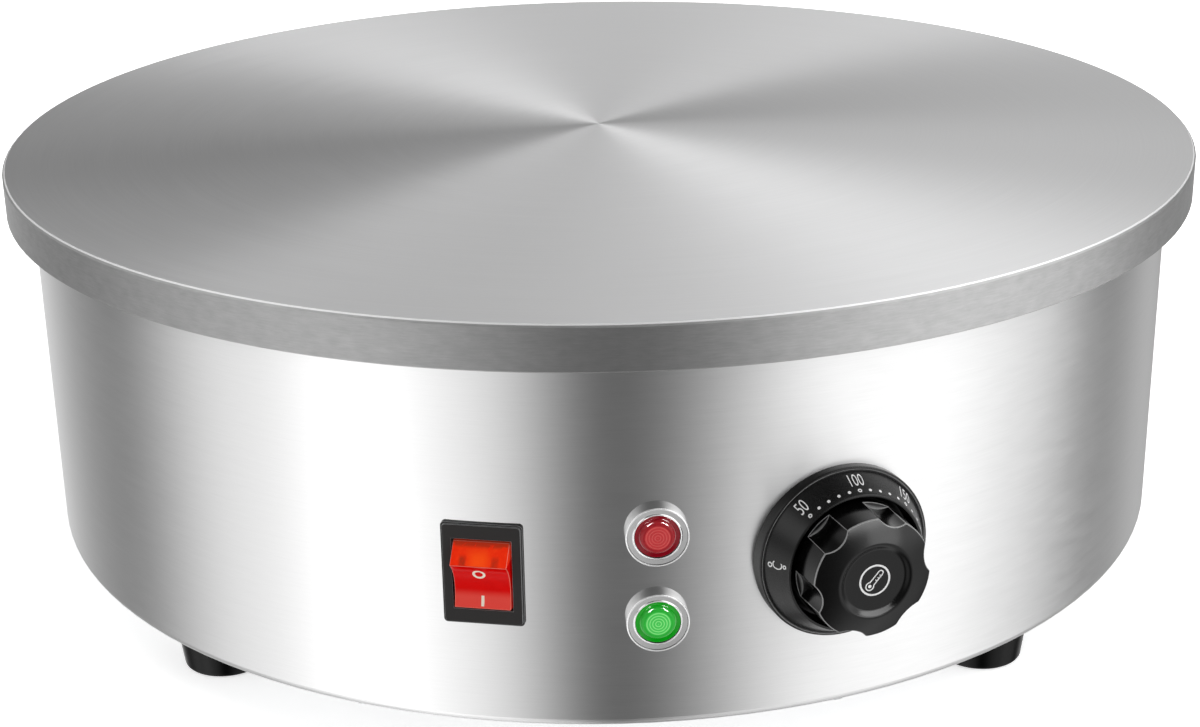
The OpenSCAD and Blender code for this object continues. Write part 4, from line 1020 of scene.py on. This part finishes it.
knob = knob_piece(KNOB_BLACK)
dial_piece(BLACK)
lenses = [lamp_pieces("red", RED_PLACE, CHROME, RED_LENS),
          lamp_pieces("green", GREEN_PLACE, CHROME, GREEN_LENS)]
dial_scale(PRINT)
thermometer_sign(PRINT)
rocker_marks(WARM_PRINT)
for piece in (softened("switch_housing", SWITCH_BLACK, 0.07 * MM, 2, SWITCH_EDGE_HIGHLIGHT),
              softened("rocker", LIT_RED, 0.14 * MM, 3, RED_EDGE_HIGHLIGHT)):
    piece.visible_glossy = False


# ---- Camera, floor and studio ----

# In metres, radians and millimetres
CAMERA_EYE, CAMERA_AIM = Vector((0.01034, -0.74019, 0.34165)), Vector((-0.00078, 0, 0.05252))
CAMERA_ROLL, CAMERA_LENS = math.radians(-0.99), 66.25


def front_camera():
    """Camera above the front edge, aimed at the middle of the drum and rolled a little."""
    ahead = (CAMERA_AIM - CAMERA_EYE).normalized()
    right = ahead.cross(Vector((0, 0, 1))).normalized()
    up = right.cross(ahead)
    side = right * math.cos(CAMERA_ROLL) + up * math.sin(CAMERA_ROLL)
    top = up * math.cos(CAMERA_ROLL) - right * math.sin(CAMERA_ROLL)
    camera = in_scene("camera", bpy.data.cameras.new("camera"))
    camera.matrix_world = Matrix((side, top, -ahead)).transposed().to_4x4()
    camera.location = CAMERA_EYE
    camera.data.sensor_width = 36.0
    camera.data.lens = CAMERA_LENS
    camera.data.clip_start = 0.05
    bpy.context.scene.camera = camera


# Half the floor's width in metres, and the light that makes it white to the camera
FLOOR_HALF, FLOOR_GLOW = 6.0, 0.62


def studio_floor():
    """Pale floor that takes the object's shadow. From below it is clear, for the underside."""
    mesh = bpy.data.meshes.new("floor")
    h = FLOOR_HALF
    mesh.from_pydata([(-h, -h, 0), (h, -h, 0), (h, h, 0), (-h, h, 0)], [], [(0, 1, 2, 3)])
    floor = in_scene("floor", mesh)
    material, tree, shader = blank("pale_floor", Base_Color=(0.92, 0.92, 0.92, 1), Roughness=0.9,
                                   Specular_IOR_Level=0.0, Emission_Color=(1, 1, 1, 1))
    path = put(tree, "LightPath")
    seen = maths(tree, "MAXIMUM", path.outputs["Is Camera Ray"], path.outputs["Is Glossy Ray"])
    seen = maths(tree, "MAXIMUM", seen, path.outputs["Is Transmission Ray"])
    tree.links.new(product(tree, seen, FLOOR_GLOW), shader.inputs["Emission Strength"])
    clear = put(tree, "BsdfTransparent")
    one_sided = put(tree, "MixShader", {0: put(tree, "NewGeometry").outputs["Backfacing"],
                                        1: shader.outputs[0], 2: clear.outputs[0]})
    tree.links.new(one_sided.outputs[0], tree.nodes["Material Output"].inputs["Surface"])
    mesh.materials.append(material)
    floor.visible_glossy = False


# Even light all round, and the soft edges of the low and high boxes' elevations in degrees
SURROUND = 0.133
LOW_EDGE, HIGH_EDGE = 14.0, 8.0
# Soft boxes of the studio, all angles in degrees. The low ones stand on the floor, each
# (azimuth, half width, soft edge, strength). The high ones hang, each (azimuth, half width,
# soft edge, lowest and highest elevation, strength).
LOW_BOXES = [
    (-156.4, 16.2, 40.7, 0.88),
    (-125.4, 14.5, 30.6, 0.18),
    (-67.3, 25.2, 40.4, 1.14),
    (-34.9, 21.8, 27.9, 1.16),
    (48.3, 23.2, 41.5, 1.00),
    (82.1, 18.5, 26.1, 0.68),
    (143.2, 16.3, 29.6, 0.46),
]
HIGH_BOXES = [
    (-176.1, 80.4, 78.0, 47.0, 98.1, 1.60),
    (-140.8, 10.3, 44.2, 0.5, 48.2, 0.41),
    (-117.7, 30.1, 36.3, 6.7, 56.7, 0.61),
    (-63.1, 30.4, 24.1, 14.1, 40.7, 1.40),
    (13.4, 22.8, 25.5, 37.9, 80.4, 0.18),
    (71.5, 37.7, 26.8, -6.9, 60.8, 1.62),
    (101.8, 35.4, 41.0, 23.5, 47.5, 1.04),
    (140.7, 18.7, 31.8, 19.7, 49.8, 0.83),
    (170.1, 11.5, 16.1, 4.9, 36.7, 0.78),
]


def studio_world():
    """Surround of even light with soft boxes added: each is a smooth step in azimuth times a
    smooth step in elevation. The camera itself sees plain white."""
    world = bpy.data.worlds.new("studio")
    bpy.context.scene.world = world
    world.use_nodes = True
    tree = world.node_tree
    x, y, z = split(tree, put(tree, "TexCoord").outputs["Generated"])
    flat = vector_maths(tree, "NORMALIZE", join(tree, x, y))
    in_degrees = 180 / math.pi
    elevation = product(tree, maths(tree, "ARCSINE", z), in_degrees)
    floor_level = ease(tree, elevation, LOW_EDGE, -LOW_EDGE)

    def across(azimuth, half, soft):
        a = math.radians(azimuth)
        aim = dot(tree, flat, (math.sin(a), -math.cos(a), 0.0))
        turn = product(tree, maths(tree, "ARCCOSINE", aim), in_degrees)
        return ease(tree, turn, half + soft / 2, half - soft / 2)

    total = 0.0
    for azimuth, half, soft, strength in LOW_BOXES:
        total = maths(tree, "MULTIPLY_ADD", across(azimuth, half, soft), strength, total)
    total = maths(tree, "MULTIPLY_ADD", total, floor_level, SURROUND)
    for azimuth, half, soft, low, high, strength in HIGH_BOXES:
        above = ease(tree, elevation, low - HIGH_EDGE, low + HIGH_EDGE)
        below = ease(tree, elevation, high + HIGH_EDGE, high - HIGH_EDGE)
        lit = product(tree, across(azimuth, half, soft), above, below)
        total = maths(tree, "MULTIPLY_ADD", lit, strength, total)
    seen = put(tree, "LightPath").outputs["Is Camera Ray"]
    level = maths(tree, "MULTIPLY_ADD", maths(tree, "SUBTRACT", 1.0, total), seen, total)
    background = tree.nodes["Background"]
    background.inputs["Color"].default_value = (1, 1, 1, 1)
    tree.links.new(level, background.inputs["Strength"])


BOX_AWAY = 1.2


def sparkle(name, pieces, azimuth, elevation, size, power):
    """Soft box that far away in metres, whose light falls on those pieces only, as a
    reflection. Azimuth and elevation are in degrees, the size in metres, the power in watts."""
    label = "lit_by_" + name
    lit = bpy.data.collections.get(label) or bpy.data.collections.new(label)
    for piece in pieces:
        if piece.name not in lit.objects:
            lit.objects.link(piece)
    box = bpy.data.lights.new(name, "AREA")
    box.shape, box.size, box.size_y = "RECTANGLE", *size
    box.energy = power
    lamp = in_scene(name, box)
    a, e = math.radians(azimuth), math.radians(elevation)
    way = Vector((math.sin(a) * math.cos(e), -math.cos(a) * math.cos(e), math.sin(e)))
    lamp.location = pieces[0].data.vertices[0].co + way * BOX_AWAY
    lamp.rotation_euler = way.to_track_quat("Z", "Y").to_euler()
    lamp.visible_diffuse = False
    lamp.light_linking.receiver_collection = lit


front_camera()
studio_floor()
studio_world()
sparkle("lens_box", lenses, 60.0, 40.0, (0.40, 0.70), 130.0)
sparkle("lens_box", lenses, -40.0, 45.0, (0.40, 0.70), 130.0)
sparkle("knob_box", [knob], 52.0, 6.0, (0.55, 0.40), 2.2)
sparkle("knob_box", [knob], 47.0, 27.0, (1.25, 0.55), 17.0)

bpy.context.scene.view_settings.view_transform = "Standard"
